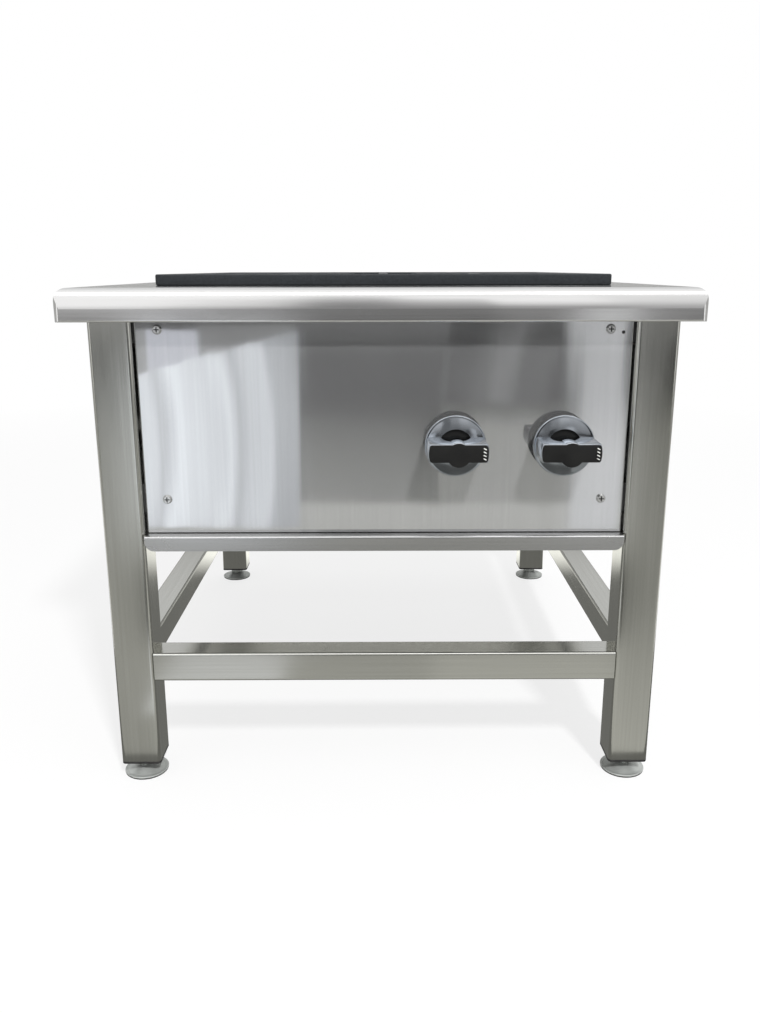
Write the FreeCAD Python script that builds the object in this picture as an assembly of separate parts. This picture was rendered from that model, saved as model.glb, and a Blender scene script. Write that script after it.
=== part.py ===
import FreeCAD, Part
import math
import os

os.makedirs("parts", exist_ok=True)
Vector = FreeCAD.Vector
ALONG_X = Vector(1, 0, 0)
ALONG_Y = Vector(0, 1, 0)
ALONG_Z = Vector(0, 0, 1)

# Overall sizes of the stove
deck_width = 586.0
deck_depth = 686.0
deck_shift = -2.5
deck_top = 500.0
deck_edge_height = 30.0
deck_sheet = 1.5
deck_edge_round = 9.0
deck_flank_round = 34.0
deck_flank_tilt = 22.0
deck_foot_round = 1.8
deck_plan_corner = 6.0
deck_return = 15.0
deck_opening = 400.0
deck_opening_corner = 30.0
deck_collar_depth = 12.0

# Square tube frame
leg_side = 40.0
leg_wall = 1.5
leg_corner = 4.0
leg_span_x = 546.0
leg_span_y = 646.0
leg_bottom = 20.0
rail_side = 30.0
rail_wall = 1.5
rail_corner = 2.5
lower_rail_top = 141.0
middle_rail_top = 315.0
top_rail_height = 50.0

# Levelling feet and leg plugs
plug_flange = 2.5
plug_insert = 22.0
plug_side_play = 0.2
foot_disc_radius = 22.5
foot_rim_height = 3.0
foot_cone_height = 6.0
foot_rim_step = 1.0
foot_neck_radius = 9.0
foot_nut_height = 5.0
foot_nut_flats = 16.0
stud_radius = 5.0
stud_top = 52.0
stud_play = 0.3

# Sheet panels between the legs
panel_sheet = 1.2
panel_inset = 7.0
panel_side_gap = 1.5
panel_bottom = 266.5
panel_top = 494.0
panel_return = 12.0
panel_notch_play = 2.0
panel_bend = 1.5
screw_from_center = 210.0
screw_high = 462.0
screw_low = 300.0
screw_radius = 2.1
screw_length = 14.0
screw_head_radius = 4.6
screw_head_height = 2.8
screw_head_top_radius = 3.2
screw_hole_play = 0.4
cross_length = 5.0
cross_width = 1.1
cross_depth = 1.3
spare_hole_radius = 1.6
spare_hole_x = 222.0
spare_hole_z = 459.0

# Drip tray and its runners
tray_sheet = 1.2
tray_half_width = 228.0
tray_floor = 251.3
tray_wall_top = 263.0
tray_rear = 290.0
lip_half_width = 232.0
lip_top = 265.7
lip_bottom = 250.9
lip_forward = 5.5
lip_corner = 9.0
grip_depth = 13.5
tray_corner = 4.0
lip_bend = 2.0
runner_sheet = 2.0
runner_width = 22.0
runner_height = 36.0
runner_end = 302.0
runner_gap = 0.3

# Double ring burner
burner_top = 445.0
burner_height = 36.0
burner_wall = 6.0
outer_ring_radius = 120.0
outer_ring_bore = 88.0
inner_head_radius = 46.0
port_radius = 1.6
outer_port_offset = 5.0
inner_port_circles = (36.0, 27.0)
outer_port_count = 36
inner_port_count = 18
edge_chamfer = 2.0
outer_tube_x = 62.0
outer_tube_z = 427.0
inner_tube_z = 391.0
tube_mouth_radius = 20.0
tube_radius = 16.0
tube_wall = 4.0
tube_ring_overlap = 12.0
duct_ring_overlap = 6.0
mouth_front = -215.0
mouth_rear = -172.0
neck_rear = -150.0
mouth_plate = 6.0
air_port_front = -205.0
air_port_rear = -183.0
air_port_angle = 70.0
bridge_half_width = 10.0
bridge_half_length = 113.0
bridge_thickness = 6.0
bridge_screw_x = 104.0
bridge_screw_radius = 3.0
bridge_screw_play = 0.3
bridge_screw_flats = 10.0
bridge_screw_head = 4.0
bridge_screw_reach = 4.0
lug_radius = 11.0
lug_height = 12.0
lug_x = 105.0
lug_y = 58.0
lug_seat_radius = 8.2

# Burner support
bar_width = 40.0
bar_thickness = 6.0
bar_half_length = 262.0
post_radius = 7.0
thread_radius = 4.0
thread_play = 0.3
post_nut_flats = 13.0
post_nut_height = 6.5
thread_end = 2.0

# Air shutter sleeves
shutter_play = 0.4
shutter_sheet = 1.6
shutter_front = -208.0
shutter_rear = -179.0
shutter_tab_width = 8.0
shutter_tab_height = 9.0

# Gas train
knob_left_x = 66.7
knob_right_x = 168.5
knob_z = 355.0
manifold_y = -235.0
pipe_radius = 10.65
pipe_wall = 2.6
manifold_left_end = 35.0
manifold_end_wall = 4.0
supply_x = 205.0
supply_rear = 296.0
elbow_radius = 14.5
elbow_leg = 24.0
pipe_engagement = 10.0
pipe_play = 0.2
inlet_thread_radius = 10.5
inlet_bore = 7.5
inlet_hex_flats = 27.0
inlet_thread_length = 24.0
inlet_end = 360.0
inlet_hole_play = 2.0
inlet_hex_length = 12.0
inlet_socket_radius = 12.5
clamp_sheet = 3.0
clamp_width = 18.0
clamp_places = (-120.0, 180.0)
valve_body_radius = 12.0
valve_body_front = -304.0
valve_body_rear = -262.0
valve_gland_radius = 8.0
valve_gland_front = -311.0
valve_inlet_radius = 7.5
valve_inlet_end = -240.0
valve_hex_flats = 20.0
valve_hex_front = -258.0
valve_hex_rear = -249.0
outlet_y = -283.0
outlet_radius = 7.0
outlet_top = 368.0
valve_passage_radius = 4.0
valve_passage_front = -286.0
outlet_bore = 3.5
gas_tube_radius = 5.0
gas_tube_wall = 1.0
left_bend = 13.0
right_bend = 18.0
union_nut_flats = 17.0
union_nut_height = 9.0
injector_flats = 17.0
injector_rear = -230.0
injector_thread_radius = 6.0
injector_tip_radius = 3.6
injector_tip = -199.0
jet_radius = 1.0
jet_length = 4.0
injector_feed_radius = 3.0
injector_tip_step = 1.0

# Knobs and stems
stem_radius = 4.0
stem_flat = 2.6
stem_play = 0.3
stem_front = -360.0
stem_rear = -288.0
stem_flat_length = 22.0
panel_stem_hole = 8.0
knob_gap = 12.0
knob_radius = 29.0
knob_rim = 5.0
knob_dish_radius = 17.5
knob_dish_rise = 2.0
knob_hub_radius = 11.6
knob_hub_drop = 1.6
knob_groove_radius = 16.3
knob_groove_floor = 16.2
knob_face = 52.0
knob_bar_radius = 27.5
knob_bar_height = 17.0
knob_bar_foot = 16.0
inlay_thickness = 2.5
inlay_margin = 0.6
knob_socket = 46.0
knob_socket_play = 0.1
knob_rim_step = 1.5
knob_wall = 4.0
knob_hollow = 3.0
inlay_round = 0.8

# Cast iron pan grate
grate_half = 230.5
grate_top = 511.0
grate_frame_width = 22.0
grate_finger_width = 12.0
grate_finger_bottom = 490.0
grate_drop_start = 194.0
grate_finger_steps = (0.0, 100.0)
grate_hub_gap = 36.0
grate_diagonal_start = 62.0
grate_finger_clearance = 28.0
grate_corner = 4.0
grate_inner_corner = 6.0

# Positions that follow from the sizes above
leg_x = leg_span_x / 2 - leg_side / 2
leg_y = leg_span_y / 2 - leg_side / 2
leg_inner_x = leg_x - leg_side / 2
leg_inner_y = leg_y - leg_side / 2
leg_face_y = leg_span_y / 2
leg_face_x = leg_span_x / 2
leg_top = deck_top - deck_sheet
panel_face_y = leg_face_y - panel_inset
panel_face_x = leg_face_x - panel_inset
panel_back_y = panel_face_y - panel_sheet
panel_back_x = panel_face_x - panel_sheet
bar_bottom = middle_rail_top
bar_top = bar_bottom + bar_thickness
burner_bottom = burner_top - burner_height


def save(name, shape):
    shape.exportStep("parts/" + name + ".step")


def block(x_low, x_high, y_low, y_high, z_low, z_high):
    corner = Vector(x_low, y_low, z_low)
    return Part.makeBox(x_high - x_low, y_high - y_low, z_high - z_low, corner)


def rod(radius, start, end):
    way = end - start
    return Part.makeCylinder(radius, way.Length, start, way)


def rod_y(radius, x, z, y_low, y_high):
    return rod(radius, Vector(x, y_low, z), Vector(x, y_high, z))


def rod_z(radius, x, y, z_low, z_high):
    return rod(radius, Vector(x, y, z_low), Vector(x, y, z_high))


def edges_along(shape, direction):
    found = []
    for edge in shape.Edges:
        ends = edge.Vertexes
        if len(ends) == 2 and edge.Curve.TypeId == "Part::GeomLine":
            way = ends[1].Point - ends[0].Point
            if abs(abs(way.normalize().dot(direction)) - 1.0) < 0.0001:
                found.append(edge)
    return found


def rounded_block(x_low, x_high, y_low, y_high, z_low, z_high, radius, direction):
    solid = block(x_low, x_high, y_low, y_high, z_low, z_high)
    return solid.makeFillet(radius, edges_along(solid, direction))


def square_tube(x_low, x_high, y_low, y_high, z_low, z_high, wall, radius, direction):
    outside = rounded_block(x_low, x_high, y_low, y_high, z_low, z_high, radius, direction)
    trim_x = wall * (1 - direction.x) - direction.x
    trim_y = wall * (1 - direction.y) - direction.y
    trim_z = wall * (1 - direction.z) - direction.z
    x_pair = (x_low + trim_x, x_high - trim_x)
    y_pair = (y_low + trim_y, y_high - trim_y)
    z_pair = (z_low + trim_z, z_high - trim_z)
    inside = rounded_block(*x_pair, *y_pair, *z_pair, radius - wall, direction)
    return outside.cut(inside)


def hexagon(flats, base, direction, height):
    corner_radius = flats / math.sqrt(3.0)
    side = Vector(0, 0, 1)
    if abs(direction.z) > 0.5:
        side = Vector(1, 0, 0)
    other = direction.cross(side)
    points = []
    for index in range(7):
        angle = math.radians(60.0 * index)
        offset = side * math.cos(angle) + other * math.sin(angle)
        points.append(base + offset * corner_radius)
    face = Part.Face(Part.makePolygon(points))
    return face.extrude(direction * height)


def mirrored_x(shape):
    return shape.mirror(Vector(0, 0, 0), ALONG_X)


def mirrored_y(shape):
    return shape.mirror(Vector(0, 0, 0), ALONG_Y)


# Frame of square tube
def leg():
    x_low = leg_x - leg_side / 2
    y_low = leg_y - leg_side / 2
    x_high = x_low + leg_side
    y_high = y_low + leg_side
    return square_tube(x_low, x_high, y_low, y_high, leg_bottom, leg_top, leg_wall, leg_corner, ALONG_Z)


def leg_plug():
    half = leg_side / 2
    inner = half - leg_wall - plug_side_play
    flange_low = leg_bottom - plug_flange
    insert_top = leg_bottom + plug_insert
    flange = rounded_block(-half, half, -half, half, flange_low, leg_bottom, leg_corner, ALONG_Z)
    inner_corner = leg_corner - leg_wall
    insert = rounded_block(-inner, inner, -inner, inner, leg_bottom, insert_top, inner_corner, ALONG_Z)
    bore = rod_z(stud_radius + stud_play, 0, 0, flange_low - 1, insert_top + 1)
    return flange.fuse(insert).cut(bore).removeSplitter()


def leg_plugs():
    plugs = []
    for side_x in (-1, 1):
        for side_y in (-1, 1):
            plug = leg_plug()
            plug.translate(Vector(side_x * leg_x, side_y * leg_y, 0))
            plugs.append(plug)
    return Part.makeCompound(plugs)


def rail_along_x(face_y, z_top, height):
    y_low = face_y - rail_side
    z_low = z_top - height
    ends = leg_inner_x
    return square_tube(-ends, ends, y_low, face_y, z_low, z_top, rail_wall, rail_corner, ALONG_X)


def rail_along_y(face_x, z_top, height):
    x_low = face_x - rail_side
    z_low = z_top - height
    ends = leg_inner_y
    return square_tube(x_low, face_x, -ends, ends, z_low, z_top, rail_wall, rail_corner, ALONG_Y)


def screw_hole_x(x_back, y, z):
    start = Vector(x_back - 2 * rail_wall, y, z)
    return rod(screw_radius + screw_hole_play / 2, start, start + ALONG_X * 4 * rail_wall)


def screw_hole_y(x, y_back, z):
    start = Vector(x, y_back - 2 * rail_wall, z)
    return rod(screw_radius + screw_hole_play / 2, start, start + ALONG_Y * 4 * rail_wall)


def rear_rail(z_top, height, screw_z):
    rail = rail_along_x(panel_back_y, z_top, height)
    for side in (-1, 1):
        rail = rail.cut(screw_hole_y(side * screw_from_center, panel_back_y, screw_z))
    return rail


def right_rail(z_top, height, screw_z):
    rail = rail_along_y(panel_back_x, z_top, height)
    for side in (-1, 1):
        rail = rail.cut(screw_hole_x(panel_back_x, side * screw_from_center, screw_z))
    return rail


# Levelling foot with disc, nut and stud
def foot():
    cone_top = foot_rim_height + foot_cone_height
    nut_base = Vector(0, 0, cone_top)
    rim = rod_z(foot_disc_radius, 0, 0, 0, foot_rim_height)
    cone_base = Vector(0, 0, foot_rim_height)
    cone = Part.makeCone(foot_disc_radius - foot_rim_step, foot_neck_radius, foot_cone_height, cone_base)
    nut = hexagon(foot_nut_flats, nut_base, ALONG_Z, foot_nut_height)
    stud = rod_z(stud_radius, 0, 0, cone_top, stud_top)
    return rim.fuse([cone, nut, stud]).removeSplitter()


# Deck of folded sheet with a rolled edge
def on_arc(center_x, center_z, radius, angle):
    return Vector(center_x + radius * math.cos(angle), 0, center_z + radius * math.sin(angle))


def deck_outline(half, z_low, z_high, offset):
    crown = deck_edge_round - offset
    flank = deck_flank_round - offset
    foot_radius = deck_foot_round - offset
    tilt = math.radians(deck_flank_tilt)
    flank_x = half - flank
    flank_z = z_high - crown * (1 - math.sin(tilt)) - flank * math.sin(tilt)
    crown_x = flank_x + (flank - crown) * math.cos(tilt)
    crown_z = z_high - crown
    foot_x = half - foot_radius
    foot_z = z_low + foot_radius
    upright = math.pi / 2
    top = on_arc(crown_x, crown_z, crown, upright)
    shoulder = on_arc(crown_x, crown_z, crown, tilt)
    side = on_arc(flank_x, flank_z, flank, 0)
    heel = on_arc(foot_x, foot_z, foot_radius, 0)
    sole = on_arc(foot_x, foot_z, foot_radius, -upright)
    crown_middle = on_arc(crown_x, crown_z, crown, (upright + tilt) / 2)
    flank_middle = on_arc(flank_x, flank_z, flank, tilt / 2)
    foot_middle = on_arc(foot_x, foot_z, foot_radius, -upright / 2)
    right = [Part.Arc(top, crown_middle, shoulder).toShape()]
    right.append(Part.Arc(shoulder, flank_middle, side).toShape())
    right.append(Part.makeLine(side, heel))
    right.append(Part.Arc(heel, foot_middle, sole).toShape())
    left = [edge.mirror(Vector(0, 0, 0), ALONG_X) for edge in right]
    ends = [Part.makeLine(Vector(-point.x, 0, point.z), point) for point in (top, sole)]
    return Part.Face(Part.Wire(Part.__sortEdges__(right + left + ends)))


def deck_body(offset):
    z_low = deck_top - deck_edge_height + offset
    z_high = deck_top - offset
    half_x = deck_width / 2 - offset
    half_y = deck_depth / 2 - offset
    across = deck_outline(half_x, z_low, z_high, offset)
    across.translate(Vector(0, -deck_depth, 0))
    along = deck_outline(half_y, z_low, z_high, offset)
    along.rotate(Vector(0, 0, 0), ALONG_Z, 90)
    along.translate(Vector(-deck_width, 0, 0))
    first = across.extrude(ALONG_Y * 2 * deck_depth)
    second = along.extrude(ALONG_X * 2 * deck_width)
    plan = rounded_block(-half_x, half_x, -half_y, half_y, z_low, z_high, deck_plan_corner - offset, ALONG_Z)
    return first.common(second).common(plan)


def opening_prism(half, z_low, z_high, radius):
    return rounded_block(-half, half, -half, half, z_low, z_high, radius, ALONG_Z)


def top_deck():
    shell = deck_body(0).cut(deck_body(deck_sheet))
    open_x = deck_width / 2 - deck_return
    open_y = deck_depth / 2 - deck_return
    z_low = deck_top - deck_edge_height
    shell = shell.cut(block(-open_x, open_x, -open_y, open_y, z_low - 1, z_low + deck_sheet + 1))
    shell.translate(ALONG_X * deck_shift)
    half = deck_opening / 2
    collar_low = deck_top - deck_collar_depth
    corner = deck_opening_corner
    collar = opening_prism(half + deck_sheet, collar_low, leg_top + deck_sheet / 2, corner + deck_sheet)
    hole = opening_prism(half, collar_low - 1, deck_top + 1, corner)
    return shell.fuse(collar).cut(hole).removeSplitter()


# Panels
def panel(half, face_y):
    y_back = face_y - panel_sheet
    y_return = face_y - panel_return
    sheet = block(-half, half, y_return, face_y, panel_bottom, panel_top)
    corner_edges = [e for e in edges_along(sheet, ALONG_Z) if e.CenterOfMass.y > face_y - 1]
    sheet = sheet.makeFillet(panel_bend, corner_edges)
    inner = half - panel_sheet
    sheet = sheet.cut(block(-inner, inner, y_return - 1, y_back, panel_bottom + panel_sheet, panel_top + 1))
    middle_low = middle_rail_top - rail_side
    top_low = leg_top - top_rail_height
    wide = half + 1
    play = panel_notch_play
    notch = block(-wide, wide, y_return - 1, y_back, middle_low - play, middle_rail_top + play)
    sheet = sheet.cut(notch)
    sheet = sheet.cut(block(-wide, wide, y_return - 1, y_back, top_low - play, panel_top + 1))
    for side in (-1, 1):
        for z in (screw_low, screw_high):
            hole = rod_y(screw_radius + screw_hole_play, side * screw_from_center, z, y_back - 1, face_y + 1)
            sheet = sheet.cut(hole)
    return sheet


def rear_panel():
    half = leg_inner_x - panel_side_gap
    hole = rod_y(pipe_radius + inlet_hole_play, supply_x, knob_z, panel_back_y - 1, panel_face_y + 1)
    return panel(half, panel_face_y).cut(hole)


def front_panel():
    half = leg_inner_x - panel_side_gap
    sheet = mirrored_y(panel(half, panel_face_y))
    for x in (knob_left_x, knob_right_x):
        sheet = sheet.cut(rod_y(panel_stem_hole, x, knob_z, -panel_face_y - 1, -panel_back_y + 1))
    spare = rod_y(spare_hole_radius, spare_hole_x, spare_hole_z, -panel_face_y - 1, -panel_back_y + 1)
    return sheet.cut(spare)


def right_panel():
    half = leg_inner_y - panel_side_gap
    sheet = panel(half, panel_face_x)
    sheet.rotate(Vector(0, 0, 0), ALONG_Z, -90)
    return sheet


def panel_screw(face):
    origin = Vector(0, 0, 0)
    head = Part.makeCone(screw_head_radius, screw_head_top_radius, screw_head_height, origin, ALONG_Y)
    shank = rod_y(screw_radius, 0, 0, -screw_length, 0)
    screw = head.fuse(shank)
    half = cross_length / 2
    thin = cross_width / 2
    slot_low = screw_head_height - cross_depth
    slot_high = screw_head_height + 1
    screw = screw.cut(block(-half, half, slot_low, slot_high, -thin, thin))
    screw = screw.cut(block(-thin, thin, slot_low, slot_high, -half, half))
    screw.translate(Vector(0, face, 0))
    return screw


def screw_set(face, turn):
    screws = []
    for side in (-1, 1):
        for z in (screw_low, screw_high):
            screw = panel_screw(face)
            screw.translate(Vector(side * screw_from_center, 0, z))
            screw.rotate(Vector(0, 0, 0), ALONG_Z, turn)
            screws.append(screw)
    return screws


def front_panel_screws():
    return Part.makeCompound(screw_set(panel_face_y, 180))


def casing_screws():
    rear = screw_set(panel_face_y, 0)
    right = screw_set(panel_face_x, -90)
    left = screw_set(panel_face_x, 90)
    return Part.makeCompound(rear + right + left)


# Drip tray with grip lip and the runners it slides on
def drip_tray():
    front_wall = -leg_face_y - lip_forward + grip_depth
    lip_front = -leg_face_y - lip_forward
    half = tray_half_width
    thick = tray_sheet
    pan = block(-half, half, front_wall, tray_rear, tray_floor, tray_wall_top)
    pan = pan.makeFillet(tray_corner, edges_along(pan, ALONG_Z))
    inner = half - thick
    well = block(-inner, inner, front_wall + thick, tray_rear - thick, tray_floor + thick, tray_wall_top + 1)
    well = well.makeFillet(tray_corner - thick, edges_along(well, ALONG_Z))
    wide = lip_half_width
    hood = block(-wide, wide, lip_front, front_wall + thick, lip_bottom, lip_top)
    lower = [e for e in edges_along(hood, ALONG_Y) if e.CenterOfMass.z < lip_bottom + 1]
    hood = hood.makeFillet(lip_corner, lower)
    front_top = [e for e in edges_along(hood, ALONG_X) if e.CenterOfMass.z > lip_top - 1]
    front_top = [e for e in front_top if e.CenterOfMass.y < lip_front + 1]
    hood = hood.makeFillet(lip_bend, front_top)
    channel_top = lip_top - thick
    over = wide + 1
    channel = block(-over, over, lip_front + thick, front_wall + grip_depth, lip_bottom - 1, channel_top)
    hood = hood.cut(channel)
    reach = half - tray_corner
    wall = block(-reach, reach, front_wall, front_wall + thick, tray_wall_top - 1, channel_top)
    return pan.cut(well).fuse([hood, wall]).removeSplitter()


def tray_runner():
    x_high = leg_inner_x
    z_low = tray_floor - runner_gap - runner_sheet
    z_high = z_low + runner_height
    upright = block(x_high - runner_sheet, x_high, -runner_end, runner_end, z_low, z_high)
    shelf = block(x_high - runner_width, x_high, -runner_end, runner_end, z_low, z_low + runner_sheet)
    return upright.fuse(shelf).removeSplitter()


# Burner castings
def mixing_tube(x, z, rear, plug):
    grow = 0.0
    mouth_start = mouth_front
    if plug:
        grow = -tube_wall
        mouth_start = mouth_front + mouth_plate
    mouth = rod_y(tube_mouth_radius + grow, x, z, mouth_start, mouth_rear)
    neck_length = neck_rear - mouth_rear
    base = Vector(x, mouth_rear, z)
    neck = Part.makeCone(tube_mouth_radius + grow, tube_radius + grow, neck_length, base, ALONG_Y)
    shank = rod_y(tube_radius + grow, x, z, neck_rear, rear)
    return mouth.fuse([neck, shank])


def sector_windows(x, z, radius, y_low, y_high):
    half_height = radius * math.sin(math.radians(air_port_angle / 2))
    return block(x - 2 * radius, x + 2 * radius, y_low, y_high, z - half_height, z + half_height)


def mouth_openings(x, z):
    windows = sector_windows(x, z, tube_mouth_radius, air_port_front, air_port_rear)
    hole = rod_y(injector_thread_radius + pipe_play, x, z, mouth_front - 1, mouth_front + mouth_plate + 1)
    return windows.fuse(hole)


def ports(count, radius, start_angle):
    holes = []
    for index in range(count):
        angle = math.radians(start_angle + 360.0 * index / count)
        x = radius * math.cos(angle)
        y = radius * math.sin(angle)
        holes.append(rod_z(port_radius, x, y, burner_top - burner_wall - 1, burner_top + 1))
    return holes


def chamfered_top(ring):
    edges = []
    for edge in ring.Edges:
        if edge.CenterOfMass.z > burner_top - 0.1 and edge.Closed and edge.Length > 1.0:
            edges.append(edge)
    return ring.makeChamfer(edge_chamfer, edges)


def outer_burner():
    ring = rod_z(outer_ring_radius, 0, 0, burner_bottom, burner_top)
    ring = ring.cut(rod_z(outer_ring_bore, 0, 0, burner_bottom - 1, burner_top + 1))
    ring = chamfered_top(ring)
    tube_end = -math.sqrt((outer_ring_bore + burner_wall / 2) ** 2 - outer_tube_x**2)
    body = ring.fuse(mixing_tube(outer_tube_x, outer_tube_z, tube_end - tube_ring_overlap, False))
    for side_x in (-1, 1):
        for side_y in (-1, 1):
            lug = rod_z(lug_radius, side_x * lug_x, side_y * lug_y, burner_bottom, burner_bottom + lug_height)
            body = body.fuse(lug)
    duct_low = burner_bottom + burner_wall
    duct_high = burner_top - burner_wall
    duct = rod_z(outer_ring_radius - burner_wall, 0, 0, duct_low, duct_high)
    duct = duct.cut(rod_z(outer_ring_bore + burner_wall, 0, 0, duct_low - 1, duct_high + 1))
    duct = duct.fuse(mixing_tube(outer_tube_x, outer_tube_z, tube_end - duct_ring_overlap, True))
    body = body.cut(duct).cut(mouth_openings(outer_tube_x, outer_tube_z))
    middle = (outer_ring_radius + outer_ring_bore) / 2
    body = body.cut(ports(outer_port_count, middle - outer_port_offset, 0.0))
    body = body.cut(ports(outer_port_count, middle + outer_port_offset, 180.0 / outer_port_count))
    for side_x in (-1, 1):
        for side_y in (-1, 1):
            x = side_x * lug_x
            y = side_y * lug_y
            above = burner_bottom + lug_height
            body = body.cut(rod_z(lug_seat_radius, x, y, above, burner_top + 1))
            body = body.cut(rod_z(thread_radius + thread_play, x, y, burner_bottom - 1, above + 1))
        hole_radius = bridge_screw_radius + bridge_screw_play
        hole_top = burner_bottom + bridge_screw_reach + 1.0
        body = body.cut(rod_z(hole_radius, side_x * bridge_screw_x, 0, burner_bottom - 1, hole_top))
    return body.removeSplitter()


def inner_burner():
    head = chamfered_top(rod_z(inner_head_radius, 0, 0, burner_bottom, burner_top))
    tube = mixing_tube(0, inner_tube_z, 0.0, False)
    elbow = rod_z(tube_radius, 0, 0, inner_tube_z, burner_bottom + 1)
    ball = Part.makeSphere(tube_radius, Vector(0, 0, inner_tube_z))
    low = burner_bottom - bridge_thickness
    bridge_size = (-bridge_half_length, bridge_half_length, -bridge_half_width, bridge_half_width)
    bridge = block(*bridge_size, low, burner_bottom)
    body = head.fuse([tube, elbow, ball, bridge])
    duct_low = burner_bottom + burner_wall
    cavity = rod_z(inner_head_radius - burner_wall, 0, 0, duct_low, burner_top - burner_wall)
    duct = mixing_tube(0, inner_tube_z, 0.0, True)
    riser = rod_z(tube_radius - tube_wall, 0, 0, inner_tube_z, duct_low + 1)
    end_ball = Part.makeSphere(tube_radius - tube_wall, Vector(0, 0, inner_tube_z))
    body = body.cut(cavity.fuse([duct, riser, end_ball]))
    body = body.cut(mouth_openings(0, inner_tube_z))
    body = body.cut(ports(inner_port_count, inner_port_circles[0], 0.0))
    body = body.cut(ports(inner_port_count, inner_port_circles[1], 180.0 / inner_port_count))
    for side in (-1, 1):
        hole_radius = bridge_screw_radius + bridge_screw_play
        body = body.cut(rod_z(hole_radius, side * bridge_screw_x, 0, low - 1, burner_bottom + 1))
    return body.removeSplitter()


def bridge_screws():
    screws = []
    low = burner_bottom - bridge_thickness
    for side in (-1, 1):
        x = side * bridge_screw_x
        head_base = Vector(x, 0, low - bridge_screw_head)
        head = hexagon(bridge_screw_flats, head_base, ALONG_Z, bridge_screw_head)
        shank = rod_z(bridge_screw_radius, x, 0, low, burner_bottom + bridge_screw_reach)
        screws.append(head.fuse(shank))
    return Part.makeCompound(screws)


def burner_bar():
    low = lug_y - bar_width / 2
    high = lug_y + bar_width / 2
    bar = block(-bar_half_length, bar_half_length, low, high, bar_bottom, bar_top)
    for side in (-1, 1):
        bar = bar.cut(rod_z(thread_radius + thread_play, side * lug_x, lug_y, bar_bottom - 1, bar_top + 1))
    return bar


def burner_posts():
    posts = []
    for side_x in (-1, 1):
        for side_y in (-1, 1):
            x = side_x * lug_x
            y = side_y * lug_y
            post = rod_z(post_radius, x, y, bar_top, burner_bottom)
            thread_top = burner_bottom + lug_height + post_nut_height + thread_end
            thread_low = bar_bottom - post_nut_height - thread_end
            thread = rod_z(thread_radius, x, y, thread_low, thread_top)
            posts.append(post.fuse(thread).removeSplitter())
    return Part.makeCompound(posts)


def post_nuts():
    nuts = []
    for side_x in (-1, 1):
        for side_y in (-1, 1):
            x = side_x * lug_x
            y = side_y * lug_y
            for base in (bar_bottom - post_nut_height, burner_bottom + lug_height):
                nut = hexagon(post_nut_flats, Vector(x, y, base), ALONG_Z, post_nut_height)
                hole = rod_z(thread_radius + thread_play / 3, x, y, base - 1, base + post_nut_height + 1)
                nuts.append(nut.cut(hole))
    return Part.makeCompound(nuts)


def air_shutter(x, z):
    bore = tube_mouth_radius + shutter_play
    radius = bore + shutter_sheet
    sleeve = rod_y(radius, x, z, shutter_front, shutter_rear)
    tab_low = (shutter_front + shutter_rear - shutter_tab_width) / 2
    tab_high = tab_low + shutter_tab_width
    tab_top = z + radius + shutter_tab_height
    tab = block(x - shutter_sheet, x + shutter_sheet, tab_low, tab_high, z + bore, tab_top)
    sleeve = sleeve.fuse(tab)
    sleeve = sleeve.cut(rod_y(bore, x, z, shutter_front - 1, shutter_rear + 1))
    return sleeve.cut(sector_windows(x, z, tube_mouth_radius, air_port_front, air_port_rear))


def injector(x, z):
    hexagon_length = mouth_front - injector_rear
    head = hexagon(injector_flats, Vector(x, injector_rear, z), ALONG_Y, hexagon_length)
    thread = rod_y(injector_thread_radius, x, z, mouth_front, mouth_front + mouth_plate)
    tip_start = mouth_front + mouth_plate
    tip_length = injector_tip - tip_start
    tip_base = Vector(x, tip_start, z)
    tip_root = injector_thread_radius - injector_tip_step
    tip = Part.makeCone(tip_root, injector_tip_radius, tip_length, tip_base, ALONG_Y)
    body = head.fuse([thread, tip])
    feed = rod_y(injector_feed_radius, x, z, injector_rear - 1, injector_tip - jet_length)
    jet = rod_y(jet_radius, x, z, injector_tip - jet_length - 1, injector_tip + 1)
    return body.cut(feed.fuse(jet)).removeSplitter()


# Gas train
def valve_body():
    body = rod_y(valve_body_radius, 0, knob_z, valve_body_front, valve_body_rear)
    gland = rod_y(valve_gland_radius, 0, knob_z, valve_gland_front, valve_body_front)
    hex_length = valve_hex_rear - valve_hex_front
    collar = hexagon(valve_hex_flats, Vector(0, valve_hex_front, knob_z), ALONG_Y, hex_length)
    inlet = rod_y(valve_inlet_radius, 0, knob_z, valve_body_rear, valve_inlet_end)
    outlet = rod_z(outlet_radius, 0, outlet_y, knob_z, outlet_top)
    body = body.fuse([gland, collar, inlet, outlet])
    bore = rod_y(stem_radius + stem_play, 0, knob_z, valve_gland_front - 1, stem_rear + 1)
    passage = rod_y(valve_passage_radius, 0, knob_z, valve_passage_front, valve_inlet_end + 1)
    riser = rod_z(outlet_bore, 0, outlet_y, knob_z, outlet_top + 1)
    return body.cut(bore).cut(passage.fuse(riser)).removeSplitter()


def valve_stem():
    stem = rod_y(stem_radius, 0, knob_z, stem_front, stem_rear)
    flat_low = knob_z + stem_flat
    wide = 2 * stem_radius
    flat = block(-wide, wide, stem_front - 1, stem_front + stem_flat_length, flat_low, knob_z + wide)
    return stem.cut(flat)


def gas_manifold():
    right_end = supply_x - elbow_leg + pipe_engagement
    start = Vector(manifold_left_end, manifold_y, knob_z)
    end = Vector(right_end, manifold_y, knob_z)
    pipe = rod(pipe_radius, start, end)
    pipe = pipe.cut(rod(pipe_radius - pipe_wall, start + ALONG_X * manifold_end_wall, end + ALONG_X))
    for x in (knob_left_x, knob_right_x):
        hole_front = manifold_y - 2 * pipe_radius
        pipe = pipe.cut(rod_y(valve_inlet_radius + pipe_play, x, knob_z, hole_front, manifold_y))
    return pipe


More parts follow.
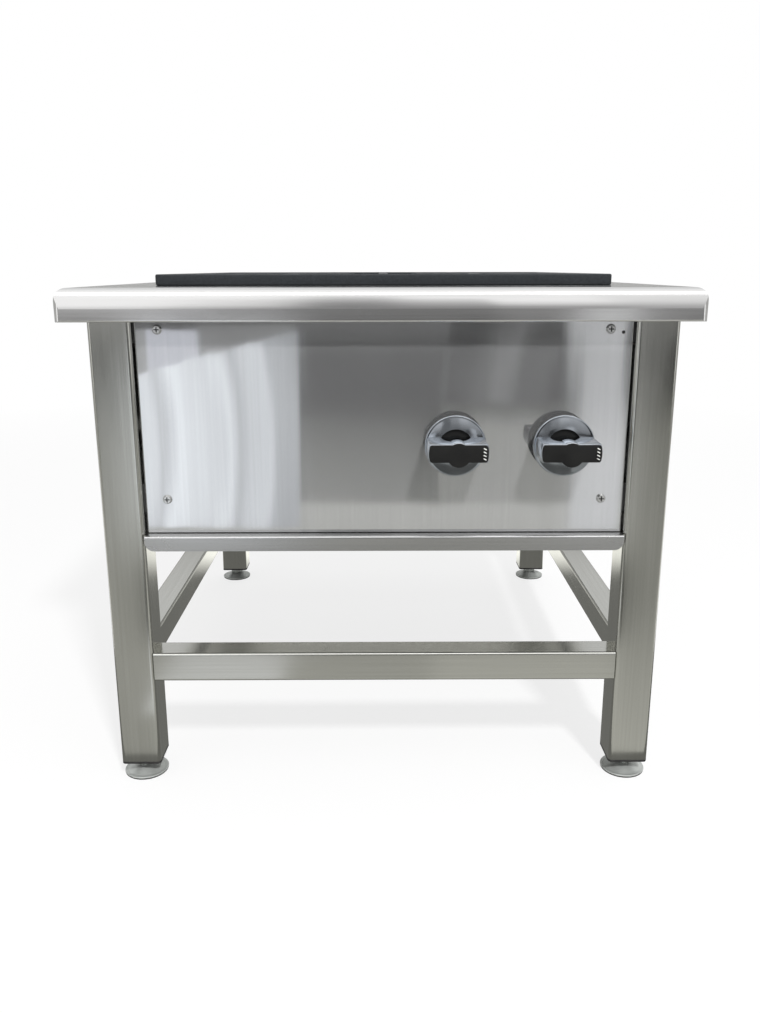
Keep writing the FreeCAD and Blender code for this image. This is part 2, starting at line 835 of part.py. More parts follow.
def manifold_elbow():
    center = Vector(supply_x, manifold_y, knob_z)
    across = center - ALONG_X * elbow_leg
    back = center + ALONG_Y * elbow_leg
    body = rod(elbow_radius, across, center).fuse(rod(elbow_radius, center, back))
    body = body.fuse(Part.makeSphere(elbow_radius, center))
    bore = pipe_radius - pipe_wall
    body = body.cut(rod(bore, across, center)).cut(rod(bore, center, back))
    body = body.cut(Part.makeSphere(bore, center))
    socket = pipe_radius + pipe_play
    body = body.cut(rod(socket, across - ALONG_X, across + ALONG_X * pipe_engagement))
    return body.cut(rod(socket, back + ALONG_Y, back - ALONG_Y * pipe_engagement)).removeSplitter()


def supply_pipe():
    front = manifold_y + elbow_leg - pipe_engagement
    pipe = rod_y(pipe_radius, supply_x, knob_z, front, supply_rear)
    return pipe.cut(rod_y(pipe_radius - pipe_wall, supply_x, knob_z, front - 1, supply_rear + 1))


def inlet_fitting():
    thread_start = inlet_end - inlet_thread_length
    socket_start = supply_rear - pipe_engagement
    socket = rod_y(inlet_socket_radius, supply_x, knob_z, socket_start, thread_start)
    collar_base = Vector(supply_x, thread_start - inlet_hex_length, knob_z)
    collar = hexagon(inlet_hex_flats, collar_base, ALONG_Y, inlet_hex_length)
    thread = rod_y(inlet_thread_radius, supply_x, knob_z, thread_start, inlet_end)
    body = socket.fuse([collar, thread])
    body = body.cut(rod_y(inlet_bore, supply_x, knob_z, socket_start - 1, inlet_end + 1))
    seat = rod_y(pipe_radius + pipe_play, supply_x, knob_z, socket_start - 1, supply_rear)
    return body.cut(seat).removeSplitter()


def pipe_clamp(y):
    y_low = y - clamp_width / 2
    y_high = y + clamp_width / 2
    ring = rod_y(pipe_radius + pipe_play + clamp_sheet, supply_x, knob_z, y_low, y_high)
    reach = panel_back_x - rail_side
    arm = block(supply_x, reach, y_low, y_high, knob_z - clamp_sheet / 2, knob_z + clamp_sheet / 2)
    drop_low = middle_rail_top - rail_side / 2
    drop = block(reach - clamp_sheet, reach, y_low, y_high, drop_low, knob_z + clamp_sheet / 2)
    clamp = ring.fuse([arm, drop])
    return clamp.cut(rod_y(pipe_radius + pipe_play, supply_x, knob_z, y_low - 1, y_high + 1)).removeSplitter()


def pipe_clamps():
    return Part.makeCompound([pipe_clamp(y) for y in clamp_places])


def bent_path(points, bend):
    edges = []
    here = points[0]
    for index in range(1, len(points) - 1):
        corner = points[index]
        way_in = (corner - points[index - 1]).normalize()
        way_out = (points[index + 1] - corner).normalize()
        start = corner - way_in * bend
        end = corner + way_out * bend
        center = corner - way_in * bend + way_out * bend
        middle = center + (corner - center).normalize() * bend
        edges.append(Part.makeLine(here, start))
        edges.append(Part.Arc(start, middle, end).toShape())
        here = end
    edges.append(Part.makeLine(here, points[-1]))
    return Part.Wire(edges)


def bent_tube(points, bend):
    path = bent_path(points, bend)
    way = (points[1] - points[0]).normalize()
    outside = Part.Wire(Part.makeCircle(gas_tube_radius, points[0], way))
    inside = Part.Wire(Part.makeCircle(gas_tube_radius - gas_tube_wall, points[0], way))
    solid = path.makePipeShell([outside], True, False)
    hollow = path.makePipeShell([inside], True, False)
    return solid.cut(hollow)


def gas_tube(valve_x, mouth_x, mouth_z, bend):
    points = [
        Vector(valve_x, outlet_y, outlet_top),
        Vector(valve_x, outlet_y, mouth_z),
        Vector(mouth_x, outlet_y, mouth_z),
        Vector(mouth_x, injector_rear, mouth_z),
    ]
    return bent_tube(points, bend)


def union_nut(base, direction):
    nut = hexagon(union_nut_flats, base, direction, union_nut_height)
    hole_end = base + direction * (union_nut_height + 1)
    return nut.cut(rod(gas_tube_radius + pipe_play, base - direction, hole_end))


def union_nuts():
    nuts = []
    for x in (knob_left_x, knob_right_x):
        nuts.append(union_nut(Vector(x, outlet_y, outlet_top), ALONG_Z))
    for x, z in ((0.0, inner_tube_z), (outer_tube_x, outer_tube_z)):
        nuts.append(union_nut(Vector(x, injector_rear, z), ALONG_Y * -1))
    return Part.makeCompound(nuts)


# Knobs, built on the axis and then carried to their place
def knob_y(distance):
    return -panel_face_y - distance


def knob_bar(length, height, near, far):
    return block(-length / 2, length / 2, knob_y(far), knob_y(near), -height / 2, height / 2)


def knob():
    rim = knob_gap + knob_rim
    skirt = rod_y(knob_radius, 0, 0, knob_y(rim), knob_y(knob_gap))
    base = Vector(0, knob_y(rim), 0)
    toward = ALONG_Y * -1
    dish = Part.makeCone(knob_radius - knob_rim_step, knob_dish_radius, knob_dish_rise, base, toward)
    groove = rod_y(knob_groove_radius, 0, 0, knob_y(knob_face), knob_y(knob_groove_floor))
    hub = rod_y(knob_hub_radius, 0, -knob_hub_drop, knob_y(knob_face), knob_y(knob_bar_foot))
    bar = knob_bar(2 * knob_bar_radius, knob_bar_height, knob_bar_foot, knob_face)
    bar = bar.common(rod_y(knob_bar_radius, 0, 0, knob_y(knob_face), knob_y(knob_gap)))
    body = skirt.fuse(dish).cut(groove).fuse([hub, bar]).removeSplitter()
    under = rod_y(knob_radius - knob_wall, 0, 0, knob_y(knob_gap + knob_hollow), knob_y(0))
    socket = rod_y(stem_radius + knob_socket_play, 0, 0, knob_y(knob_socket), knob_y(0))
    return body.cut(under).cut(socket)


def knob_inlay():
    low = knob_face
    high = knob_face + inlay_thickness
    bar = knob_bar(2 * knob_bar_radius, knob_bar_height - inlay_margin * 2, low, high)
    bar = bar.common(rod_y(knob_bar_radius - inlay_margin, 0, 0, knob_y(high), knob_y(low)))
    swell = rod_y(knob_hub_radius - inlay_margin, 0, -knob_hub_drop, knob_y(high), knob_y(low))
    plate = bar.fuse(swell).removeSplitter()
    front_edges = [e for e in plate.Edges if e.CenterOfMass.y < knob_y(high) + 0.01]
    return plate.makeFillet(inlay_round, front_edges)


def at_knob(shape, x):
    shape.translate(Vector(x, 0, knob_z))
    return shape


def across(shape, x):
    shape.translate(Vector(x, 0, 0))
    return shape


# Pan grate with a square frame and fingers that reach towards the middle
def grate_finger(offset):
    half = grate_finger_width / 2
    frame_inner = grate_half - grate_frame_width
    tip = grate_hub_gap
    if offset:
        tip = abs(offset) + grate_finger_clearance
    deep = block(tip, grate_drop_start, offset - half, offset + half, grate_finger_bottom, grate_top)
    root = block(grate_drop_start - 1, frame_inner + 1, offset - half, offset + half, deck_top, grate_top)
    return deep.fuse(root)


def grate_diagonal():
    half = grate_finger_width / 2
    frame_inner = grate_half - grate_frame_width
    reach = (frame_inner + grate_corner / 2) * math.sqrt(2.0)
    drop = (grate_drop_start - deck_opening_corner / 2) * math.sqrt(2.0)
    deep = block(grate_diagonal_start, drop, -half, half, grate_finger_bottom, grate_top)
    root = block(drop - 1, reach, -half, half, deck_top, grate_top)
    bar = deep.fuse(root)
    bar.rotate(Vector(0, 0, 0), ALONG_Z, 45)
    return bar


def pan_grate():
    half = grate_half
    inner = grate_half - grate_frame_width
    frame = rounded_block(-half, half, -half, half, deck_top, grate_top, grate_corner, ALONG_Z)
    window_size = (-inner, inner, -inner, inner, deck_top - 1, grate_top + 1)
    frame = frame.cut(rounded_block(*window_size, grate_inner_corner, ALONG_Z))
    pieces = []
    for quarter in range(4):
        for step in grate_finger_steps:
            for offset in {step, -step}:
                finger = grate_finger(offset)
                finger.rotate(Vector(0, 0, 0), ALONG_Z, 90 * quarter)
                pieces.append(finger)
        diagonal = grate_diagonal()
        diagonal.rotate(Vector(0, 0, 0), ALONG_Z, 90 * quarter)
        pieces.append(diagonal)
    return frame.fuse(pieces).removeSplitter()


def write_frame():
    post = leg()
    save("leg_rear_right", post)
    save("leg_rear_left", mirrored_x(post))
    save("leg_front_right", mirrored_y(post))
    save("leg_front_left", mirrored_x(mirrored_y(post)))
    save("leg_end_plugs", leg_plugs())
    lower_across = rail_along_x(leg_face_y, lower_rail_top, rail_side)
    lower_along = rail_along_y(leg_face_x, lower_rail_top, rail_side)
    save("lower_rail_rear", lower_across)
    save("lower_rail_front", mirrored_y(lower_across))
    save("lower_rail_right", lower_along)
    save("lower_rail_left", mirrored_x(lower_along))
    for level, z_top, height, z in (
        ("middle", middle_rail_top, rail_side, screw_low),
        ("top", leg_top, top_rail_height, screw_high),
    ):
        save(level + "_rail_rear", rear_rail(z_top, height, z))
        save(level + "_rail_front", mirrored_y(rear_rail(z_top, height, z)))
        save(level + "_rail_right", right_rail(z_top, height, z))
        save(level + "_rail_left", mirrored_x(right_rail(z_top, height, z)))


def write_casing():
    save("top_deck", top_deck())
    save("front_panel", front_panel())
    save("rear_panel", rear_panel())
    save("right_panel", right_panel())
    save("left_panel", mirrored_x(right_panel()))
    save("front_panel_screws", front_panel_screws())
    save("casing_screws", casing_screws())
    save("tray_runner_right", tray_runner())
    save("tray_runner_left", mirrored_x(tray_runner()))
    save("drip_tray", drip_tray())
    save("pan_grate", pan_grate())


def write_burner():
    save("burner_bar_rear", burner_bar())
    save("burner_bar_front", mirrored_y(burner_bar()))
    save("burner_posts", burner_posts())
    save("post_nuts", post_nuts())
    save("outer_burner", outer_burner())
    save("inner_burner", inner_burner())
    save("bridge_screws", bridge_screws())
    for name, x, z in (("inner", 0.0, inner_tube_z), ("outer", outer_tube_x, outer_tube_z)):
        save("air_shutter_" + name, air_shutter(x, z))
        save("injector_" + name, injector(x, z))


def write_gas_train():
    save("gas_manifold", gas_manifold())
    save("manifold_elbow", manifold_elbow())
    save("supply_pipe", supply_pipe())
    save("inlet_fitting", inlet_fitting())
    save("pipe_clamps", pipe_clamps())
    save("gas_tube_inner", gas_tube(knob_left_x, 0.0, inner_tube_z, left_bend))
    save("gas_tube_outer", gas_tube(knob_right_x, outer_tube_x, outer_tube_z, right_bend))
    save("union_nuts", union_nuts())
    for name, x in (("left", knob_left_x), ("right", knob_right_x)):
        save("valve_body_" + name, across(valve_body(), x))
        save("valve_stem_" + name, across(valve_stem(), x))
        save("knob_" + name, at_knob(knob(), x))
        save("knob_inlay_" + name, at_knob(knob_inlay(), x))


def write_feet():
    for name, side_x, side_y in (
        ("front_left", -1, -1),
        ("front_right", 1, -1),
        ("rear_left", -1, 1),
        ("rear_right", 1, 1),
    ):
        shape = foot()
        shape.translate(Vector(side_x * leg_x, side_y * leg_y, 0))
        save("foot_" + name, shape)


write_frame()
write_casing()
write_burner()
write_gas_train()
write_feet()
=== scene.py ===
"""Looks of a low floor-standing gas stove with one large cooking place.

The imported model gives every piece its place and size. This script dresses the tube work, the sheet
metal and the gas fittings, remodels the pieces that need rounder or finer shapes, and sets the studio.
"""

import logging
import math
from dataclasses import dataclass
from enum import Enum

import bmesh
import bpy
from bmesh.types import BMesh, BMEdge, BMFace
from mathutils import Matrix, Vector


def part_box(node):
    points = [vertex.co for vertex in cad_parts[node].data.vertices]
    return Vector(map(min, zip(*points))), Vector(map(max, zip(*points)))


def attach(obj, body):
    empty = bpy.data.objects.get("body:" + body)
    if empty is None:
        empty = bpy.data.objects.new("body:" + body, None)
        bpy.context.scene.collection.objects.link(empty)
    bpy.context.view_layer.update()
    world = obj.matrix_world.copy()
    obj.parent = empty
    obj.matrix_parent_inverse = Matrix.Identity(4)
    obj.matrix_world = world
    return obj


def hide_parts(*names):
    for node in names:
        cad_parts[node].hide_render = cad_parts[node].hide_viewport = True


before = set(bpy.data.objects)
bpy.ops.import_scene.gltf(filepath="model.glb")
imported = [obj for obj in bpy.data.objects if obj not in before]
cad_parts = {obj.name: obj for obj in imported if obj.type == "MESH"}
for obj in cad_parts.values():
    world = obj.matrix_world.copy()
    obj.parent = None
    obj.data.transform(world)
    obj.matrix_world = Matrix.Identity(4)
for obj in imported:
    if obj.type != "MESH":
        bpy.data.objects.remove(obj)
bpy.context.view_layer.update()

LOG = logging.getLogger("stove")
MM = 0.001
ORIGIN = Vector((0.0, 0.0, 0.0))
AXIS_X = Vector((1.0, 0.0, 0.0))
AXIS_Y = Vector((0.0, 1.0, 0.0))
AXIS_Z = Vector((0.0, 0.0, 1.0))
SIDES = ("left", "right")
ENDS = ("front", "rear")

Tint = tuple[float, float, float]
Socket = bpy.types.NodeSocket
Stops = tuple[tuple[float, float], ...]
Outline = tuple[tuple[float, float], ...]


def rgba(tint: Tint) -> tuple[float, float, float, float]:
    """Gives a tint with full cover."""
    return (*tint, 1.0)


class GrainAxis(Enum):
    """Direction in which the polishing lines of a tube or sheet run."""

    ALONG_X = 0
    ALONG_Y = 1
    ALONG_Z = 2

    def stretch(self, run: float) -> Tint:
        """Gives texture scales that draw a pattern out along the grain.

        Args:
            run: Scale along the grain, where the scale across it is 1.

        Returns:
            The three scales of a mapping.
        """
        scales = [1.0, 1.0, 1.0]
        scales[self.value] = run
        return tuple(scales)


class NodeDesk:
    """Bench on which the nodes of one finish are laid out and joined."""

    def __init__(self, name: str) -> None:
        """Starts a material with its main shader.

        Args:
            name: Name of the material.
        """
        self.material = bpy.data.materials.new(name)
        self.material.use_nodes = True
        self.tree = self.material.node_tree
        self.shader = self.tree.nodes["Principled BSDF"]
        self.places = self.add("ShaderNodeTexCoord").outputs["Object"]

    def add(self, kind: str) -> bpy.types.Node:
        """Adds one node of a kind."""
        return self.tree.nodes.new(kind)

    def join(self, source: Socket, target: Socket) -> None:
        """Joins two sockets."""
        self.tree.links.new(source, target)

    def feed(self, source: Socket, name: str) -> None:
        """Joins a socket to an input of the main shader."""
        self.join(source, self.shader.inputs[name])

    def fix(self, **values: float) -> None:
        """Sets plain numbers on the main shader, with underscores for the spaces in input names."""
        for name, value in values.items():
            self.shader.inputs[name.replace("_", " ")].default_value = value

    def stretched(self, scales: Tint) -> Socket:
        """Gives the object's own coordinates drawn out by scales."""
        mapping = self.add("ShaderNodeMapping")
        mapping.inputs["Scale"].default_value = scales
        self.join(self.places, mapping.inputs["Vector"])
        return mapping.outputs["Vector"]

    def noise(self, density: float, detail: float, scales: Tint = (1.0, 1.0, 1.0)) -> Socket:
        """Gives cloudy noise.

        Args:
            density: Clouds in a metre.
            detail: Number of finer layers.
            scales: Stretch of the coordinates.

        Returns:
            A value around one half.
        """
        node = self.add("ShaderNodeTexNoise")
        node.inputs["Scale"].default_value = density
        node.inputs["Detail"].default_value = detail
        self.join(self.stretched(scales), node.inputs["Vector"])
        return node.outputs["Fac"]

    def cells(self, density: float) -> Socket:
        """Gives the distance to the nearest of many scattered points."""
        node = self.add("ShaderNodeTexVoronoi")
        node.inputs["Scale"].default_value = density
        self.join(self.places, node.inputs["Vector"])
        return node.outputs["Distance"]

    def spread(self, value: Socket, low: float, high: float, span: tuple[float, float] = (0.3, 0.7)) -> Socket:
        """Maps a value to a new range.

        Args:
            value: Value to map.
            low: Result at the start of the span.
            high: Result at the end of the span.
            span: Range of the value that is used.

        Returns:
            The mapped value, clamped to its range.
        """
        node = self.add("ShaderNodeMapRange")
        node.inputs["From Min"].default_value = span[0]
        node.inputs["From Max"].default_value = span[1]
        node.inputs["To Min"].default_value = low
        node.inputs["To Max"].default_value = high
        self.join(value, node.inputs["Value"])
        return node.outputs["Result"]

    def place(self, axis: int) -> Socket:
        """Gives one of the object's own coordinates."""
        node = self.add("ShaderNodeSeparateXYZ")
        self.join(self.places, node.inputs["Vector"])
        return node.outputs[axis]

    def reckon(self, operation: str, first: Socket, second: Socket | float) -> Socket:
        """Reckons with two values.

        Args:
            operation: Name of the math operation.
            first: First value.
            second: Second value, from a socket or as a plain number.

        Returns:
            The result.
        """
        node = self.add("ShaderNodeMath")
        node.operation = operation
        self.join(first, node.inputs[0])
        if isinstance(second, Socket):
            self.join(second, node.inputs[1])
        else:
            node.inputs[1].default_value = second
        return node.outputs["Value"]

    def levels(self, value: Socket, stops: Stops) -> Socket:
        """Gives a level that follows a value from stop to stop.

        Args:
            value: Value to follow.
            stops: Value and level of each stop, in rising order of the values.

        Returns:
            The level.
        """
        start, end = stops[0][0], stops[-1][0]
        node = self.add("ShaderNodeValToRGB")
        elements = node.color_ramp.elements
        for position, level in stops:
            at = (position - start) / (end - start)
            element = elements[0] if at == 0.0 else elements[-1] if at == 1.0 else elements.new(at)
            element.color = rgba((level, level, level))
        self.join(self.spread(value, 0.0, 1.0, (start, end)), node.inputs["Fac"])
        return node.outputs["Color"]

    def bowed(self, axis: int, bow: float, middle: float) -> Socket:
        """Gives a coordinate along curves that bow to one side.

        Args:
            axis: Number of the coordinate.
            bow: Sideways run of the curves at one metre from their middle.
            middle: Height of their middle.

        Returns:
            The coordinate.
        """
        height = self.reckon("SUBTRACT", self.place(2), middle)
        lean = self.reckon("MULTIPLY", self.reckon("MULTIPLY", height, height), bow)
        return self.reckon("ADD", self.place(axis), lean)

    def mean(self, first: Socket, second: Socket) -> Socket:
        """Gives the mean of two values."""
        node = self.add("ShaderNodeMix")
        self.join(first, node.inputs["A"])
        self.join(second, node.inputs["B"])
        return node.outputs["Result"]

    def blend(self, factor: Socket, first: Tint, second: Tint) -> Socket:
        """Mixes two tints by a value.

        Args:
            factor: Value from 0, the first tint, to 1, the second.
            first: Tint at 0.
            second: Tint at 1.

        Returns:
            The mixed colour.
        """
        node = self.add("ShaderNodeMix")
        node.data_type = "RGBA"
        node.inputs["A"].default_value = rgba(first)
        node.inputs["B"].default_value = rgba(second)
        self.join(factor, node.inputs["Factor"])
        return node.outputs["Result"]

    def painted_recess_shade(self, tone: Socket, reach: float) -> Socket:
        """Paints shade into the recesses of a piece, by darkening its tone where ambient occlusion finds walls near.

        Args:
            tone: Colour of the open surface.
            reach: Distance in metres within which walls darken a recess.

        Returns:
            The darkened colour.
        """
        node = self.add("ShaderNodeAmbientOcclusion")
        node.only_local = True
        node.inputs["Distance"].default_value = reach
        dark = self.add("ShaderNodeMix")
        dark.data_type = "RGBA"
        # Painted shade: near-black tint that takes over where the recess is closed.
        dark.inputs["A"].default_value = rgba((0.02, 0.02, 0.02))
        self.join(self.spread(node.outputs["AO"], 0.0, 1.0, (0.5, 0.9)), dark.inputs["Factor"])
        self.join(tone, dark.inputs["B"])
        return dark.outputs["Result"]

    def painted_top_shade(self, tone: Socket, share: float) -> Socket:
        """Paints shade on the faces that look straight up, by darkening their tone.

        Args:
            tone: Colour of the other faces.
            share: Share of the tone that stays on the upper faces.

        Returns:
            The darkened colour.
        """
        split = self.add("ShaderNodeSeparateXYZ")
        self.join(self.add("ShaderNodeNewGeometry").outputs["Normal"], split.inputs["Vector"])
        node = self.add("ShaderNodeVectorMath")
        node.operation = "SCALE"
        self.join(tone, node.inputs["Vector"])
        self.join(self.spread(split.outputs["Z"], 1.0, share, (0.94, 0.998)), node.inputs["Scale"])
        return node.outputs["Vector"]

    def relief(self, height: Socket, depth: float, below: Socket | None = None) -> Socket:
        """Raises a surface by a value.

        Args:
            height: Value that is read as height.
            depth: Height in metres of a full step of the value.
            below: Relief that this one lies on.

        Returns:
            The bent surface direction.
        """
        node = self.add("ShaderNodeBump")
        node.inputs["Distance"].default_value = depth
        self.join(height, node.inputs["Height"])
        if below is not None:
            self.join(below, node.inputs["Normal"])
        return node.outputs["Normal"]


@dataclass(frozen=True)
class Finish:
    """A surface finish that is made once and shared by its pieces."""

    name: str
    tint: Tint
    shade: Tint
    roughness: float

    def material(self) -> bpy.types.Material:
        """Gives the finish's material, made at its first use."""
        known = bpy.data.materials.get(self.name)
        return known or self.make()

    def make(self) -> bpy.types.Material:
        """Lays out the finish's nodes."""
        raise NotImplementedError


@dataclass(frozen=True)
class BrushedSteel(Finish):
    """Stainless steel with polishing lines, smears and a slight unevenness of the sheet."""

    axis: GrainAxis = GrainAxis.ALONG_Z
    lines: float = 420.0
    line_run: float = 0.012
    line_depth: float = 0.00001
    smears: float = 14.0
    smear_run: float = 0.3
    rough_play: float = 0.06
    waves: float = 9.0
    wave_run: float = 0.22
    wave_depth: float = 0.0
    metal: float = 1.0
    # Share of the tone that stays on upward faces; below 1 paints shade on them.
    top_shade_share: float = 1.0

    def make(self) -> bpy.types.Material:
        """Lays out lines for tone and relief, smears for tone and gloss, and waves of the sheet."""
        desk = NodeDesk(self.name)
        lines = desk.noise(self.lines, 3.0, self.axis.stretch(self.line_run))
        smears = desk.noise(self.smears, 4.0, self.axis.stretch(self.smear_run))
        desk.fix(Metallic=self.metal)
        tone = desk.spread(desk.mean(lines, smears), 0.0, 1.0)
        body = desk.blend(tone, self.shade, self.tint)
        # Painted shade: upward faces get a darker tone.
        desk.feed(desk.painted_top_shade(body, self.top_shade_share) if self.top_shade_share < 1.0 else body, "Base Color")
        low = self.roughness - self.rough_play
        desk.feed(desk.spread(smears, low, self.roughness + self.rough_play), "Roughness")
        relief = desk.relief(lines, self.line_depth)
        if self.wave_depth:
            waves = desk.noise(self.waves, 1.0, self.axis.stretch(self.wave_run))
            relief = desk.relief(waves, self.wave_depth, relief)
        desk.feed(relief, "Normal")
        return desk.material


@dataclass(frozen=True)
class CastIron(Finish):
    """Sand-cast iron, bare or enamelled, with a pitted skin and stains."""

    grains: float = 900.0
    grain_depth: float = 0.00012
    swells: float = 60.0
    swell_depth: float = 0.0003
    stain: Tint = (0.08, 0.06, 0.05)
    stain_span: tuple[float, float] = (0.5, 0.75)
    gloss: float = 0.5
    metal: float = 0.0

    def make(self) -> bpy.types.Material:
        """Lays out the grain of the mould, the swells of the casting and the stains."""
        desk = NodeDesk(self.name)
        grains = desk.noise(self.grains, 2.0)
        swells = desk.noise(self.swells, 3.0)
        stains = desk.noise(self.swells / 5.0, 5.0)
        desk.fix(Metallic=self.metal, Specular_IOR_Level=self.gloss)
        mottled = desk.blend(desk.spread(grains, 0.0, 1.0), self.shade, self.tint)
        node = desk.add("ShaderNodeMix")
        node.data_type = "RGBA"
        node.inputs["B"].default_value = rgba(self.stain)
        desk.join(mottled, node.inputs["A"])
        desk.join(desk.spread(stains, 0.0, 0.7, self.stain_span), node.inputs["Factor"])
        desk.feed(node.outputs["Result"], "Base Color")
        desk.feed(desk.spread(swells, self.roughness - 0.1, self.roughness + 0.12), "Roughness")
        relief = desk.relief(swells, self.swell_depth)
        desk.feed(desk.relief(grains, self.grain_depth, relief), "Normal")
        return desk.material


@dataclass(frozen=True)
class PlatedMetal(Finish):
    """Bright plate on a turned or pressed piece, with hairline scratches and finger haze."""

    scratches: float = 700.0
    haze: float = 45.0
    scratch_depth: float = 0.000004
    rough_play: float = 0.05
    metal: float = 1.0
    # Reach in metres of the painted shade in recesses; 0 paints none.
    recess_shade_reach: float = 0.0

    def make(self) -> bpy.types.Material:
        """Lays out the haze for tone and gloss, painted shade in deep recesses and the scratches for relief."""
        desk = NodeDesk(self.name)
        haze = desk.noise(self.haze, 4.0)
        scratches = desk.noise(self.scratches, 2.0, (1.0, 0.08, 0.4))
        desk.fix(Metallic=self.metal)
        tone = desk.blend(desk.spread(haze, 0.0, 1.0), self.shade, self.tint)
        # Painted shade: the tone darkens in the piece's recesses.
        desk.feed(desk.painted_recess_shade(tone, self.recess_shade_reach) if self.recess_shade_reach else tone, "Base Color")
        high = self.roughness + self.rough_play
        desk.feed(desk.spread(haze, self.roughness, high, (0.4, 0.75)), "Roughness")
        desk.feed(desk.relief(scratches, self.scratch_depth), "Normal")
        return desk.material


@dataclass(frozen=True)
class MouldedPlastic(Finish):
    """Dark moulded plastic with a fine pebble and rubbed patches."""

    pebble: float = 1600.0
    pebble_depth: float = 0.00004
    rubs: float = 60.0
    gloss: float = 0.5

    def make(self) -> bpy.types.Material:
        """Lays out the pebble for relief and the rubbed patches for tone and gloss."""
        desk = NodeDesk(self.name)
        rubs = desk.noise(self.rubs, 4.0)
        desk.fix(Specular_IOR_Level=self.gloss)
        desk.feed(desk.blend(desk.spread(rubs, 0.0, 1.0), self.shade, self.tint), "Base Color")
        desk.feed(desk.spread(rubs, self.roughness - 0.08, self.roughness + 0.1), "Roughness")
        desk.feed(desk.relief(desk.cells(self.pebble), self.pebble_depth), "Normal")
        return desk.material


@dataclass(frozen=True)
class GasMetal(Finish):
    """Brass, copper or dull steel of the gas train, with tarnish and turning marks."""

    tarnish: Tint = (0.2, 0.13, 0.06)
    tarnish_span: tuple[float, float] = (0.48, 0.72)
    marks: float = 500.0
    mark_depth: float = 0.00003

    def make(self) -> bpy.types.Material:
        """Lays out the tarnish for tone and gloss and the turning marks for relief."""
        desk = NodeDesk(self.name)
        clouds = desk.noise(28.0, 6.0)
        marks = desk.noise(self.marks, 2.0)
        desk.fix(Metallic=1.0)
        body = desk.blend(desk.spread(marks, 0.0, 1.0), self.shade, self.tint)
        node = desk.add("ShaderNodeMix")
        node.data_type = "RGBA"
        node.inputs["B"].default_value = rgba(self.tarnish)
        desk.join(body, node.inputs["A"])
        desk.join(desk.spread(clouds, 0.0, 0.6, self.tarnish_span), node.inputs["Factor"])
        desk.feed(node.outputs["Result"], "Base Color")
        desk.feed(desk.spread(clouds, self.roughness - 0.08, self.roughness + 0.18), "Roughness")
        desk.feed(desk.relief(marks, self.mark_depth), "Normal")
        return desk.material


@dataclass(frozen=True)
class PaintedMark(Finish):
    """White paint of the setting ticks, thin in places."""

    def make(self) -> bpy.types.Material:
        """Lays out the thin places of the paint."""
        desk = NodeDesk(self.name)
        thin = desk.noise(900.0, 3.0)
        desk.feed(desk.blend(desk.spread(thin, 0.0, 1.0), self.shade, self.tint), "Base Color")
        desk.feed(desk.spread(thin, self.roughness - 0.1, self.roughness + 0.1), "Roughness")
        return desk.material


TUBE_TINT = (0.62, 0.62, 0.585)
TUBE_SHADE = (0.54, 0.54, 0.505)
TUBE_ROUGHNESS = 0.18


class TubeFinish(Enum):
    """Satin finishes of the frame tube, one for each way that a tube lies."""

    UPRIGHT = BrushedSteel("satin_tube_upright", TUBE_TINT, TUBE_SHADE, TUBE_ROUGHNESS, GrainAxis.ALONG_Z)
    ACROSS = BrushedSteel("satin_tube_across", TUBE_TINT, TUBE_SHADE, TUBE_ROUGHNESS, GrainAxis.ALONG_X)
    DEEP = BrushedSteel("satin_tube_deep", TUBE_TINT, TUBE_SHADE, TUBE_ROUGHNESS, GrainAxis.ALONG_Y)


class SheetFinish(Enum):
    """Finishes of the sheet metal."""

    # The deck's top faces get painted shade, a darker tone than its edge.
    DECK = BrushedSteel(
        "deck_polish", (0.89, 0.885, 0.88), (0.82, 0.815, 0.81), 0.15, GrainAxis.ALONG_X,
        wave_depth=0.0002, waves=7.0, top_shade_share=0.75,
    )
    FRONT = BrushedSteel(
        "front_polish", (0.62, 0.625, 0.63), (0.57, 0.575, 0.58), 0.055, GrainAxis.ALONG_Z,
        rough_play=0.015, waves=26.0, wave_run=0.12, wave_depth=0.0004, line_depth=0.000002, metal=0.86,
    )
    CASING = BrushedSteel(
        "casing_polish", (0.66, 0.66, 0.66), (0.58, 0.58, 0.58), 0.25, GrainAxis.ALONG_Z, wave_depth=0.0003,
    )
    TRAY = BrushedSteel(
        "tray_satin", (0.66, 0.66, 0.66), (0.58, 0.58, 0.58), 0.24, GrainAxis.ALONG_X, wave_depth=0.0002,
    )


